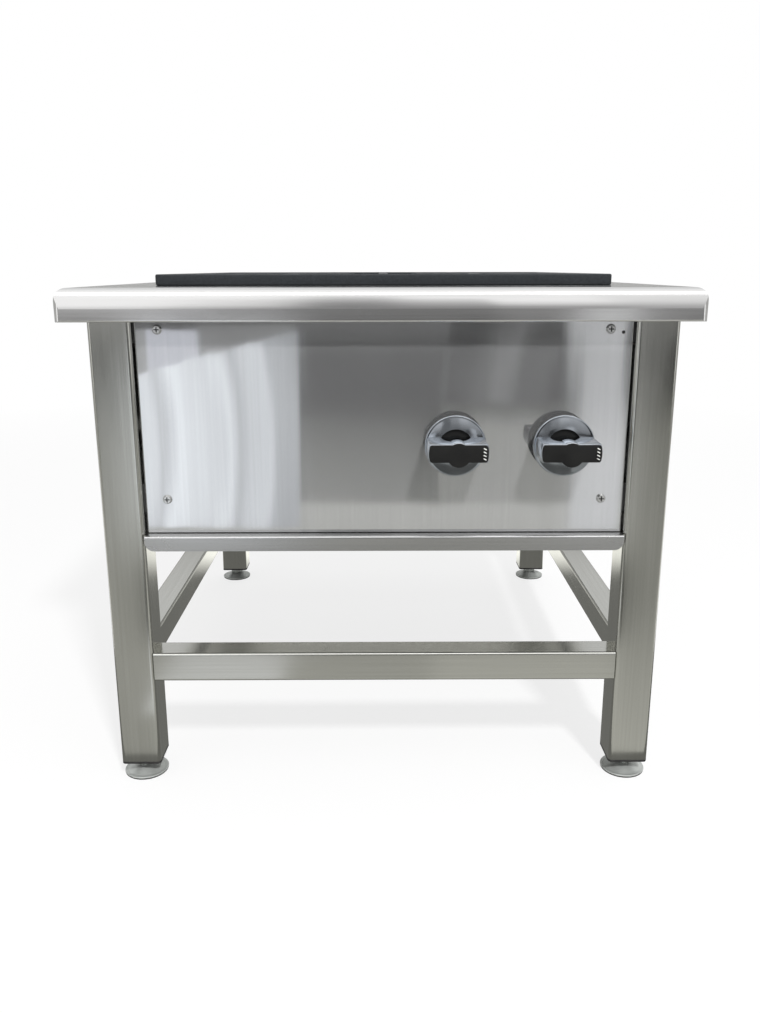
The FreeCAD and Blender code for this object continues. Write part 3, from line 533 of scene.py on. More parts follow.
class SmallFinish(Enum):
    """Finishes of the fasteners, knobs, castings and gas fittings."""

    # The screws get painted shade in their recesses.
    ZINC = PlatedMetal("bright_zinc", (0.7, 0.7, 0.69), (0.6, 0.6, 0.59), 0.2, recess_shade_reach=0.003)
    CHROME = PlatedMetal("knob_plate", (0.52, 0.55, 0.59), (0.43, 0.46, 0.5), 0.1)
    FOOT = PlatedMetal("foot_plate", (0.58, 0.6, 0.58), (0.48, 0.5, 0.48), 0.4, metal=0.6)
    INLAY = MouldedPlastic("inlay_black", (0.011, 0.011, 0.0105), (0.008, 0.008, 0.008), 0.5, gloss=0.2)
    PLUG = MouldedPlastic("plug_moulding", (0.035, 0.034, 0.033), (0.02, 0.02, 0.02), 0.5)
    TICK = PaintedMark("tick_paint", (0.78, 0.78, 0.76), (0.5, 0.5, 0.49), 0.5)
    GRATE = CastIron(
        "grate_enamel", (0.027, 0.031, 0.035), (0.014, 0.016, 0.018), 0.45,
        stain=(0.016, 0.018, 0.02), gloss=0.3,
    )
    BURNER = CastIron(
        "burner_casting", (0.12, 0.115, 0.11), (0.06, 0.057, 0.055), 0.6,
        stain=(0.17, 0.085, 0.04), metal=0.35,
    )
    # Black coat of the inner rails, which paints the shade seen through the gap beside the front panel.
    GAP_SHADE_RAIL = CastIron(
        "rail_coat_gap_shade", (0.03, 0.03, 0.03), (0.02, 0.02, 0.02), 0.6,
        grain_depth=0.00003, swell_depth=0.00005, stain=(0.035, 0.03, 0.026),
    )
    BRASS = GasMetal("fitting_brass", (0.78, 0.58, 0.26), (0.66, 0.47, 0.2), 0.26, tarnish=(0.3, 0.2, 0.09))
    COPPER = GasMetal("tube_copper", (0.8, 0.43, 0.29), (0.68, 0.34, 0.22), 0.24, tarnish=(0.25, 0.11, 0.07))
    SHUTTER = GasMetal("shutter_plate", (0.56, 0.56, 0.55), (0.46, 0.46, 0.45), 0.34, tarnish=(0.22, 0.19, 0.15))
    PIPE = GasMetal("pipe_skin", (0.2, 0.2, 0.21), (0.14, 0.14, 0.15), 0.45, tarnish=(0.14, 0.09, 0.06))


class SubAssembly:
    """Bench work that every sub-assembly shares."""

    def dress(self, node: str, finish: Finish) -> None:
        """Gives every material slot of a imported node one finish.

        Args:
            node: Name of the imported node.
            finish: Finish that it gets.
        """
        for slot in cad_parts[node].material_slots:
            slot.material = finish.material()
        LOG.info("%s: dressed in %s", node, finish.name)

    def fit(self, node: str, body: str, shape: BMesh, finishes: list[Finish], crease: float = 32.0) -> None:
        """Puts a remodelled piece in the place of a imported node.

        Args:
            node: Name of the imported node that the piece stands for.
            body: Body that the piece moves with.
            shape: Finished shape in the stove's own frame.
            finishes: Finishes in the order of the shape's material numbers.
            crease: Angle in degrees above which an edge stays sharp.
        """
        mesh = bpy.data.meshes.new(node + "_form")
        shape.to_mesh(mesh)
        shape.free()
        mesh.polygons.foreach_set("use_smooth", [True] * len(mesh.polygons))
        mesh.set_sharp_from_angle(angle=math.radians(crease))
        for finish in finishes:
            mesh.materials.append(finish.material())
        piece = bpy.data.objects.new(node + "_form", mesh)
        bpy.context.scene.collection.objects.link(piece)
        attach(piece, body)
        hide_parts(node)
        LOG.info("%s: remodelled with %d faces", node, len(mesh.polygons))


def turned(profile: list[tuple[float, float]], steps: int) -> BMesh:
    """Turns a profile round the upright axis.

    Args:
        profile: Radius and height of each point, in millimetres, from the lower end to the upper.
        steps: Number of faces round the turn.

    Returns:
        A closed shape about the upright axis, in metres.
    """
    shape = bmesh.new()
    points = [shape.verts.new((radius * MM, 0.0, height * MM)) for radius, height in profile]
    edges = [shape.edges.new(pair) for pair in zip(points, points[1:])]
    bmesh.ops.spin(
        shape, geom=points + edges, cent=ORIGIN, axis=AXIS_Z, angle=math.tau, steps=steps, use_merge=True,
    )
    bmesh.ops.remove_doubles(shape, verts=shape.verts, dist=0.001 * MM)
    bmesh.ops.recalc_face_normals(shape, faces=shape.faces)
    return shape


def arc(center: tuple[float, float], radius: float, start: float, end: float, steps: int) -> list[tuple[float, float]]:
    """Gives points on a round corner of a profile.

    Args:
        center: Radius and height of the corner's center.
        radius: Radius of the corner.
        start: First angle in degrees.
        end: Last angle in degrees.
        steps: Number of steps between them.

    Returns:
        The points from the first angle to the last.
    """
    angles = [math.radians(start + (end - start) * step / steps) for step in range(steps + 1)]
    return [(center[0] + radius * math.cos(a), center[1] + radius * math.sin(a)) for a in angles]


def sharp_edges(shape: BMesh, angle: float) -> list[BMEdge]:
    """Gives the edges whose two faces meet at more than an angle in degrees."""
    limit = math.radians(angle)
    return [edge for edge in shape.edges if len(edge.link_faces) == 2 and edge.calc_face_angle() > limit]


def round_off(shape: BMesh, edges: list[BMEdge], width: float, segments: int) -> None:
    """Rounds edges of a shape.

    Args:
        shape: Shape that is changed.
        edges: Edges to round.
        width: Width of the rounding in metres.
        segments: Number of faces across it.
    """
    bmesh.ops.bevel(
        shape, geom=edges, offset=width, segments=segments, profile=0.5, affect="EDGES", material=-1,
        clamp_overlap=True,
    )


def drawn_out(shape: BMesh, faces: list[BMFace], way: Vector) -> None:
    """Draws flat faces out into a closed solid.

    Args:
        shape: Shape that is changed.
        faces: Flat faces that become one end.
        way: Direction and length of the draw.
    """
    result = bmesh.ops.extrude_face_region(shape, geom=faces, use_keep_orig=True)
    moved = [item for item in result["geom"] if isinstance(item, bmesh.types.BMVert)]
    bmesh.ops.translate(shape, verts=moved, vec=way)
    bmesh.ops.recalc_face_normals(shape, faces=shape.faces)


def merged(shapes: list[BMesh]) -> BMesh:
    """Lays several shapes into one, and frees them.

    Args:
        shapes: Closed shapes in the same frame.

    Returns:
        One shape that holds them all.
    """
    whole = bmesh.new()
    for shape in shapes:
        sheet = bpy.data.meshes.new("loan")
        shape.to_mesh(sheet)
        shape.free()
        whole.from_mesh(sheet)
        bpy.data.meshes.remove(sheet)
    return whole


@dataclass
class TubeFrame(SubAssembly):
    """Legs, rails and leg plugs of the stand."""

    inner_levels: tuple[str, ...] = ("middle", "top")
    corners: tuple[str, ...] = ("front_left", "front_right", "rear_left", "rear_right")

    def build(self) -> None:
        """Dresses the open tubes with grain along each tube, and the rails inside the casing in black as painted gap
        shade.
        """
        for corner in self.corners:
            self.dress("leg_" + corner, TubeFinish.UPRIGHT.value)
        for side in ENDS:
            self.dress("lower_rail_" + side, TubeFinish.ACROSS.value)
        for side in SIDES:
            self.dress("lower_rail_" + side, TubeFinish.DEEP.value)
        for level in self.inner_levels:
            for side in (*ENDS, *SIDES):
                self.dress(f"{level}_rail_{side}", SmallFinish.GAP_SHADE_RAIL.value)
        self.dress("leg_end_plugs", SmallFinish.PLUG.value)


@dataclass
class Casing(SubAssembly):
    """Deck, panels, tray, runners and their screws."""

    def build(self) -> None:
        """Dresses the sheet metal and its fasteners."""
        self.dress("top_deck", SheetFinish.DECK.value)
        self.dress("front_panel", SheetFinish.FRONT.value)
        for side in ("rear", *SIDES):
            self.dress(side + "_panel", SheetFinish.CASING.value)
        self.dress("drip_tray", SheetFinish.TRAY.value)
        for side in SIDES:
            self.dress("tray_runner_" + side, SheetFinish.TRAY.value)
        for screws in ("front_panel_screws", "casing_screws"):
            self.dress(screws, SmallFinish.ZINC.value)


@dataclass
class GasTrain(SubAssembly):
    """Burner rings, their carrier and every piece that leads gas to them."""

    def build(self) -> None:
        """Dresses the burner and its gas train."""
        for ring in ("inner", "outer"):
            self.dress(ring + "_burner", SmallFinish.BURNER.value)
            self.dress("air_shutter_" + ring, SmallFinish.SHUTTER.value)
            self.dress("injector_" + ring, SmallFinish.BRASS.value)
            self.dress("gas_tube_" + ring, SmallFinish.COPPER.value)
        for side in SIDES:
            self.dress("valve_body_" + side, SmallFinish.BRASS.value)
            self.dress("valve_stem_" + side, SmallFinish.BRASS.value)
        for node in ("union_nuts", "inlet_fitting"):
            self.dress(node, SmallFinish.BRASS.value)
        for node in ("gas_manifold", "manifold_elbow", "supply_pipe", "pipe_clamps", "burner_posts"):
            self.dress(node, SmallFinish.PIPE.value)
        for side in ENDS:
            self.dress("burner_bar_" + side, SmallFinish.PIPE.value)
        for node in ("post_nuts", "bridge_screws"):
            self.dress(node, SmallFinish.ZINC.value)


@dataclass
class Knob(SubAssembly):
    """A valve knob: domed skirt, hub and bar handle under plate, and a black inlay with ticks.

    Lengths are in millimetres, and depths are measured from the panel's face towards the front.
    """

    side: str
    radius: float = 29.0
    gap: float = 12.0
    rim: float = 5.0
    wall: float = 4.0
    lip: float = 0.9
    plated: float = 0.6
    rim_step: float = 1.5
    dome_rise: float = 2.0
    dome_swell: float = 0.2
    dome_steps: int = 10
    groove: float = 16.3
    groove_floor: float = 16.2
    hub: float = 11.6
    hub_drop: float = 1.6
    face: float = 52.0
    bar_radius: float = 27.5
    bar_height: float = 17.0
    bar_foot: float = 16.0
    edge: float = 1.0
    inlay_margin: float = 0.6
    inlay_rise: float = 2.3
    inlay_edge: float = 0.7
    inlay_corner: float = 1.8
    steps: int = 96
    ticks: int = 4
    tick_length: float = 3.0
    tick_width: float = 0.8
    tick_pitch: float = 3.1
    tick_reach: float = 23.4
    tick_slant: float = -28.0
    tick_rise: float = 0.12

    def panel_face(self) -> float:
        """Gives the Y of the front panel's outer face."""
        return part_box("front_panel")[0].y

    def middle(self) -> Vector:
        """Gives the point where the knob's axis meets the panel's face."""
        low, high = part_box("knob_" + self.side)
        return Vector(((low.x + high.x) / 2.0, self.panel_face(), (low.z + high.z) / 2.0))

    def mounted(self, shape: BMesh) -> BMesh:
        """Turns a shape from its own upright axis to the knob's axis and moves it there."""
        turn = Matrix.Rotation(math.radians(90.0), 4, "X")
        bmesh.ops.transform(shape, matrix=Matrix.Translation(self.middle()) @ turn, verts=shape.verts)
        return shape

    def skirt(self) -> BMesh:
        """Turns the skirt with its black back, its plated front and the black groove round the hub.

        Returns:
            The turned shape on the upright axis.
        """
        rim_top = self.gap + self.rim
        lip = self.lip
        back = self.gap + self.wall / 2.0
        profile = [(0.0, back), (self.radius - self.wall, back), (self.radius - self.wall, self.gap)]
        profile += arc((self.radius - lip, self.gap + lip), lip, -90.0, 0.0, 3)
        profile.append((self.radius, self.gap + self.rim * self.plated))
        profile += arc((self.radius - lip, rim_top - lip), lip, 0.0, 90.0, 4)
        foot = self.radius - self.rim_step
        for step in range(self.dome_steps + 1):
            part = step / self.dome_steps
            swell = self.dome_swell * math.sin(math.pi * part)
            profile.append((foot + (self.groove - foot) * part, rim_top + self.dome_rise * part + swell))
        profile += [(self.groove, self.groove_floor), (0.0, self.groove_floor)]
        shape = turned(profile, self.steps)
        plate_start = self.gap + self.rim * self.plated
        for face in shape.faces:
            middle = face.calc_center_median() / MM
            in_groove = middle.z > plate_start and middle.xy.length < self.groove
            if in_groove or middle.z < plate_start:
                face.material_index = 1
        return shape

    def hub_post(self) -> BMesh:
        """Makes the round hub, which sits a little below the middle of the bar.

        Returns:
            The hub on the upright axis.
        """
        shape = bmesh.new()
        place = Matrix.Translation(Vector((0.0, -self.hub_drop, self.bar_foot)) * MM)
        bmesh.ops.create_circle(shape, cap_ends=True, radius=self.hub * MM, segments=self.steps, matrix=place)
        drawn_out(shape, shape.faces[:], AXIS_Z * ((self.face - self.bar_foot) * MM))
        self.round_front(shape, self.face, self.edge)
        return shape

    def slab(self, radius: float, height: float, low: float, high: float, edge: float) -> BMesh:
        """Makes a bar with round ends that follow a circle.

        Args:
            radius: Radius of the circle.
            height: Width of the bar across its length.
            low: Depth of its rear face.
            high: Depth of its front face.
            edge: Rounding of its front edges.

        Returns:
            The bar on the upright axis.
        """
        shape = bmesh.new()
        bmesh.ops.create_circle(shape, cap_ends=True, radius=radius * MM, segments=self.steps)
        for way in (1.0, -1.0):
            bmesh.ops.bisect_plane(
                shape, geom=shape.verts[:] + shape.edges[:] + shape.faces[:],
                plane_co=AXIS_Y * (way * height / 2.0 * MM), plane_no=AXIS_Y * way, clear_outer=True,
            )
        bmesh.ops.translate(shape, verts=shape.verts, vec=AXIS_Z * (low * MM))
        drawn_out(shape, shape.faces[:], AXIS_Z * ((high - low) * MM))
        self.round_front(shape, high, edge)
        return shape

    def round_front(self, shape: BMesh, depth: float, edge: float) -> None:
        """Rounds the edges at the front of a shape.

        Args:
            shape: Shape on the upright axis.
            depth: Depth of its front face.
            edge: Width of the rounding.
        """
        level = (depth - 0.01) * MM
        front = [e for e in sharp_edges(shape, 60.0) if min(v.co.z for v in e.verts) > level]
        round_off(shape, front, edge * MM, 3)

    def handle(self) -> BMesh:
        """Makes the bar handle."""
        return self.slab(self.bar_radius, self.bar_height, self.bar_foot, self.face, self.edge)

    def plate(self) -> BMesh:
        """Makes the black inlay: a bar with round ends and a swell where it covers the hub.

        Returns:
            The inlay on the upright axis.
        """
        half = self.bar_height / 2.0 - self.inlay_margin
        reach = self.bar_radius - self.inlay_margin
        swell = self.hub - self.inlay_margin
        tip = math.degrees(math.asin(half / reach))
        above = math.degrees(math.asin((half + self.hub_drop) / swell))
        below = math.degrees(math.asin((half - self.hub_drop) / swell))
        middle = (0.0, -self.hub_drop)
        ends = 6
        outline = arc((0.0, 0.0), reach, -tip, tip, ends)
        outline += arc(middle, swell, above, 180.0 - above, 2 * ends)
        outline += arc((0.0, 0.0), reach, 180.0 - tip, 180.0 + tip, ends)
        outline += arc(middle, swell, 180.0 + below, 360.0 - below, 4 * ends)
        shape = bmesh.new()
        verts = [shape.verts.new(Vector((x, y, self.face)) * MM) for x, y in outline]
        shape.faces.new(verts)
        left = 3 * ends + 2
        corners = [verts[0], verts[ends], verts[left], verts[left + ends]]
        bmesh.ops.bevel(
            shape, geom=corners, offset=self.inlay_corner * MM, segments=4, profile=0.5, affect="VERTICES", material=-1,
        )
        drawn_out(shape, shape.faces[:], AXIS_Z * (self.inlay_rise * MM))
        self.round_front(shape, self.face + self.inlay_rise, self.inlay_edge)
        return shape

    def tick_marks(self) -> BMesh:
        """Makes the slanted setting ticks near the handle's right end.

        Returns:
            The ticks on the upright axis.
        """
        shape = bmesh.new()
        top = self.face + self.inlay_rise
        for index in range(self.ticks):
            offset = (index - (self.ticks - 1) / 2.0) * self.tick_pitch
            place = Matrix.Translation(Vector((self.tick_reach, offset, top)) * MM)
            slant = Matrix.Rotation(math.radians(self.tick_slant), 4, "Z")
            size = Matrix.Diagonal((self.tick_length * MM, self.tick_width * MM, 2.0 * self.tick_rise * MM, 1.0))
            made = bmesh.ops.create_cube(shape, size=1.0, matrix=place @ slant @ size)
            edges = list({edge for vert in made["verts"] for edge in vert.link_edges})
            upright = [e for e in edges if abs(e.verts[0].co.z - e.verts[1].co.z) > self.tick_rise * MM]
            round_off(shape, upright, self.tick_width * 0.4 * MM, 3)
        return shape

    def build(self) -> None:
        """Makes the knob and its inlay, and puts them on the knob's body."""
        body = "knob_" + self.side
        shape = self.mounted(merged([self.skirt(), self.hub_post(), self.handle()]))
        self.fit(body, body, shape, [SmallFinish.CHROME.value, SmallFinish.INLAY.value])
        plate = self.plate()
        marks = self.tick_marks()
        for face in marks.faces:
            face.material_index = 1
        inlay = self.mounted(merged([plate, marks]))
        self.fit("knob_inlay_" + self.side, body, inlay, [SmallFinish.INLAY.value, SmallFinish.TICK.value])


@dataclass
class LevellingFoot(SubAssembly):
    """A levelling foot: pressed disc, lock nut and threaded stud, in millimetres."""

    corner: str
    disc: float = 22.5
    rim: float = 3.0
    rim_width: float = 2.6
    rim_drop: float = 0.4
    pad: float = 1.2
    pad_inset: float = 0.3
    neck: float = 9.0
    cone_top: float = 9.0
    nut_flats: float = 16.0
    nut_height: float = 5.0
    stud: float = 5.0
    stud_top: float = 52.0
    pitch: float = 1.5
    thread_depth: float = 0.55
    steps: int = 72

    def disc_profile(self) -> list[tuple[float, float]]:
        """Gives the profile of the pressed disc above its pad, and its neck."""
        edge = (self.rim - self.pad) / 2.0
        profile = [(0.0, self.pad), (self.disc - edge, self.pad)]
        profile += arc((self.disc - edge, self.pad + edge), edge, -90.0, 90.0, 8)
        profile += [(self.disc - self.rim_width, self.rim - self.rim_drop)]
        span = self.disc - self.rim_width - self.neck
        rise = self.cone_top - self.rim + self.rim_drop
        for step in range(1, 11):
            part = step / 10
            profile.append((self.disc - self.rim_width - span * part, self.rim - self.rim_drop + rise * part ** 1.25))
        return profile + [(0.0, self.cone_top)]

    def dark_pad_profile(self) -> list[tuple[float, float]]:
        """Gives the profile of the black rubber pad under the disc, which also paints the contact shade at the disc's
        lower edge.
        """
        edge = self.pad / 2.0
        outer = self.disc - self.pad_inset - edge
        return [(0.0, 0.0), *arc((outer, edge), edge, -90.0, 90.0, 6), (0.0, self.pad)]

    def stud_profile(self) -> list[tuple[float, float]]:
        """Gives the profile of the threaded stud, ridge by ridge."""
        start = self.cone_top + self.nut_height
        ridges = int((self.stud_top - start - 1.0) / self.pitch)
        profile = [(0.0, self.cone_top), (self.stud - self.thread_depth, self.cone_top)]
        for ridge in range(ridges):
            low = start + ridge * self.pitch
            profile.append((self.stud - self.thread_depth, low))
            profile.append((self.stud, low + self.pitch * 0.4))
            profile.append((self.stud, low + self.pitch * 0.6))
        return profile + [(self.stud - 1.0, self.stud_top), (0.0, self.stud_top)]

    def nut(self) -> BMesh:
        """Makes the lock nut with rounded edges.

        Returns:
            The nut at its height on the upright axis.
        """
        shape = bmesh.new()
        corner_radius = self.nut_flats / math.sqrt(3.0) * MM
        bmesh.ops.create_cone(
            shape, cap_ends=True, segments=6, radius1=corner_radius, radius2=corner_radius,
            depth=self.nut_height * MM,
        )
        round_off(shape, shape.edges[:], 0.6 * MM, 2)
        height = (self.cone_top + self.nut_height / 2.0) * MM
        bmesh.ops.translate(shape, verts=shape.verts, vec=AXIS_Z * height)
        return shape

    def build(self) -> None:
        """Makes the foot and puts it on its body."""
        node = "foot_" + self.corner
        low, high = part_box(node)
        # Painted shade: the pad's black also stands in for the contact shade under the rim.
        pad = turned(self.dark_pad_profile(), self.steps)
        for face in pad.faces:
            face.material_index = 1
        stud = turned(self.stud_profile(), self.steps // 2)
        shape = merged([turned(self.disc_profile(), self.steps), self.nut(), stud, pad])
        place = Vector(((low.x + high.x) / 2.0, (low.y + high.y) / 2.0, low.z))
        bmesh.ops.translate(shape, verts=shape.verts, vec=place)
        self.fit(node, node, shape, [SmallFinish.FOOT.value, SmallFinish.PLUG.value])


@dataclass
class PanGrate(SubAssembly):
    """The cast pan grate: square frame and fingers towards the middle, in millimetres."""

    half: float = 230.5
    low: float = 500.0
    top: float = 511.0
    frame_width: float = 22.0
    frame_corner: float = 4.0
    finger_width: float = 12.0
    finger_low: float = 490.0
    drop_start: float = 194.0
    finger_steps: tuple[float, ...] = (0.0, 100.0, -100.0)
    hub_gap: float = 36.0
    tip_clearance: float = 28.0
    diagonal_start: float = 62.0
    diagonal_drop: float = 179.0
    edge: float = 1.6
    tip_draft: float = 3.0

    def frame_ring(self) -> BMesh:
        """Makes the square frame with rounded corners and soft cast edges.

        Returns:
            The frame in the stove's own frame.
        """
        shape = bmesh.new()
        bmesh.ops.create_grid(shape, x_segments=1, y_segments=1, size=self.half * MM)
        whole = shape.faces[:]
        bmesh.ops.inset_region(
            shape, faces=whole, thickness=self.frame_width * MM, use_even_offset=True, use_boundary=True,
        )
        bmesh.ops.delete(shape, geom=whole, context="FACES")
        bmesh.ops.translate(shape, verts=shape.verts, vec=AXIS_Z * (self.low * MM))
        drawn_out(shape, shape.faces[:], AXIS_Z * ((self.top - self.low) * MM))
        upright = [e for e in shape.edges if abs(e.verts[0].co.z - e.verts[1].co.z) > MM]
        round_off(shape, upright, self.frame_corner * MM, 4)
        round_off(shape, sharp_edges(shape, 60.0), self.edge * MM, 3)
        return shape

    def finger(self, tip: float, drop: float, reach: float, offset: float) -> BMesh:
        """Makes one finger along +X with its deep inner part and shallow root.

        Args:
            tip: Distance of its tip from the middle.
            drop: Distance at which the deep part ends.
            reach: Distance at which the root ends inside the frame.
            offset: Distance from the X axis.

        Returns:
            The finger in the stove's own frame.
        """
        shape = bmesh.new()
        side = offset - self.finger_width / 2.0
        outline = [(tip + self.tip_draft, self.finger_low), (drop, self.finger_low), (drop, self.low + 0.2)]
        outline += [(reach, self.low + 0.2), (reach, self.top - 0.1), (tip, self.top - 0.1)]
        verts = [shape.verts.new(Vector((x, side, z)) * MM) for x, z in outline]
        face = shape.faces.new(verts)
        drawn_out(shape, [face], AXIS_Y * (self.finger_width * MM))
        round_off(shape, sharp_edges(shape, 20.0), self.edge * MM, 3)
        return shape

    def build(self) -> None:
        """Makes the grate and puts it on its body."""
        inner = self.half - self.frame_width
        shapes = [self.frame_ring()]
        for quarter in range(4):
            fingers = []
            for step in self.finger_steps:
                tip = abs(step) + self.tip_clearance if step else self.hub_gap
                fingers.append((self.finger(tip, self.drop_start, inner + 4.0, step), 0.0))
            reach = (inner + self.frame_corner / 2.0) * math.sqrt(2.0)
            drop = self.diagonal_drop * math.sqrt(2.0)
            fingers.append((self.finger(self.diagonal_start, drop, reach, 0.0), 45.0))
            for shape, lean in fingers:
                turn = Matrix.Rotation(math.radians(90.0 * quarter + lean), 4, "Z")
                bmesh.ops.transform(shape, matrix=turn, verts=shape.verts)
                shapes.append(shape)
        self.fit("pan_grate", "grate", merged(shapes), [SmallFinish.GRATE.value])


@dataclass(frozen=True)
class Fade:
    """Share of a card's glow at places along one axis, or along curves that bow to one side of it."""

    axis: int
    stops: Stops
    bow: float = 0.0
    middle: float = 0.0

    def share(self, desk: NodeDesk) -> Socket:
        """Gives the share at each place of a card."""
        place = desk.bowed(self.axis, self.bow, self.middle) if self.bow else desk.place(self.axis)
        return desk.levels(place, self.stops)


@dataclass(frozen=True)
class Card:
    """A flat card that only shows in shiny surfaces, as a studio sets round metal."""

    name: str
    corners: tuple[Tint, ...]
    glow: Tint
    fade: Fade | None = None
    cover: Fade | None = None

    def build(self) -> None:
        """Makes the card and hides it from all but mirror-like rays."""
        shape = bmesh.new()
        shape.faces.new([shape.verts.new(corner) for corner in self.corners])
        mesh = bpy.data.meshes.new(self.name)
        shape.to_mesh(mesh)
        shape.free()
        desk = NodeDesk(self.name + "_light")
        light = desk.add("ShaderNodeEmission")
        light.inputs["Color"].default_value = rgba(self.glow)
        if self.fade:
            desk.join(self.fade.share(desk), light.inputs["Strength"])
        shown = light.outputs["Emission"]
        if self.cover:
            mix = desk.add("ShaderNodeMixShader")
            desk.join(self.cover.share(desk), mix.inputs["Fac"])
            desk.join(desk.add("ShaderNodeBsdfTransparent").outputs["BSDF"], mix.inputs[1])
            desk.join(shown, mix.inputs[2])
            shown = mix.outputs["Shader"]
        desk.join(shown, desk.tree.nodes["Material Output"].inputs["Surface"])
        mesh.materials.append(desk.material)
        card = bpy.data.objects.new(self.name, mesh)
        bpy.context.scene.collection.objects.link(card)
        for ray in ("camera", "diffuse", "transmission", "volume_scatter", "shadow"):
            setattr(card, "visible_" + ray, False)


def upright(name: str, y: float, outline: Outline, glow: Tint, **changes: Fade) -> Card:
    """Gives a card that stands across the view.

    Args:
        name: Name of the card.
        y: Its Y, which is negative in front of the stove.
        outline: X and Z of each corner.
        glow: Its brightness and tint.
        changes: Fade and cover of the card.

    Returns:
        The card.
    """
    return Card(name, tuple((x, y, z) for x, z in outline), glow, **changes)


def wall(name: str, y: float, low: float, high: float, tint: Tint, stops: Stops) -> Card:
    """Gives a wall across the view whose glow changes with the height.

    Args:
        name: Name of the card.
        y: Its Y, which is negative in front of the stove.
        low: Lowest X.
        high: Highest X.
        tint: Its tint.
        stops: Height and glow of each stop.

    Returns:
        The card.
    """
    top = stops[-1][0]
    corners = ((low, y, 0.0), (high, y, 0.0), (high, y, top), (low, y, top))
    return Card(name, corners, tint, Fade(2, stops))


def ground(name: str, outline: Outline, tint: Tint, stops: Stops) -> Card:
    """Gives a card that lies on the floor and whose glow changes with the distance in front.

    Args:
        name: Name of the card.
        outline: X and Y of each corner.
        tint: Its tint.
        stops: Y and glow of each stop.

    Returns:
        The card.
    """
    height = 0.001
    return Card(name, tuple((x, y, height) for x, y in outline), tint, Fade(1, stops))


@dataclass(frozen=True)
class SoftBox:
    """A square soft light aimed at a point."""

    name: str
    place: Tint
    aim: Tint
    size: float
    power: float

    def build(self) -> None:
        """Makes the light, which shows in no shiny surface, as the cards stand in for it there."""
        lamp = bpy.data.lights.new(self.name, "AREA")
        lamp.shape = "SQUARE"
        lamp.size = self.size
        lamp.energy = self.power
        light = bpy.data.objects.new(self.name, lamp)
        light.location = self.place
        light.visible_glossy = False
        way = Vector(self.aim) - Vector(self.place)
        light.rotation_euler = way.to_track_quat("-Z", "Y").to_euler()
        bpy.context.scene.collection.objects.link(light)


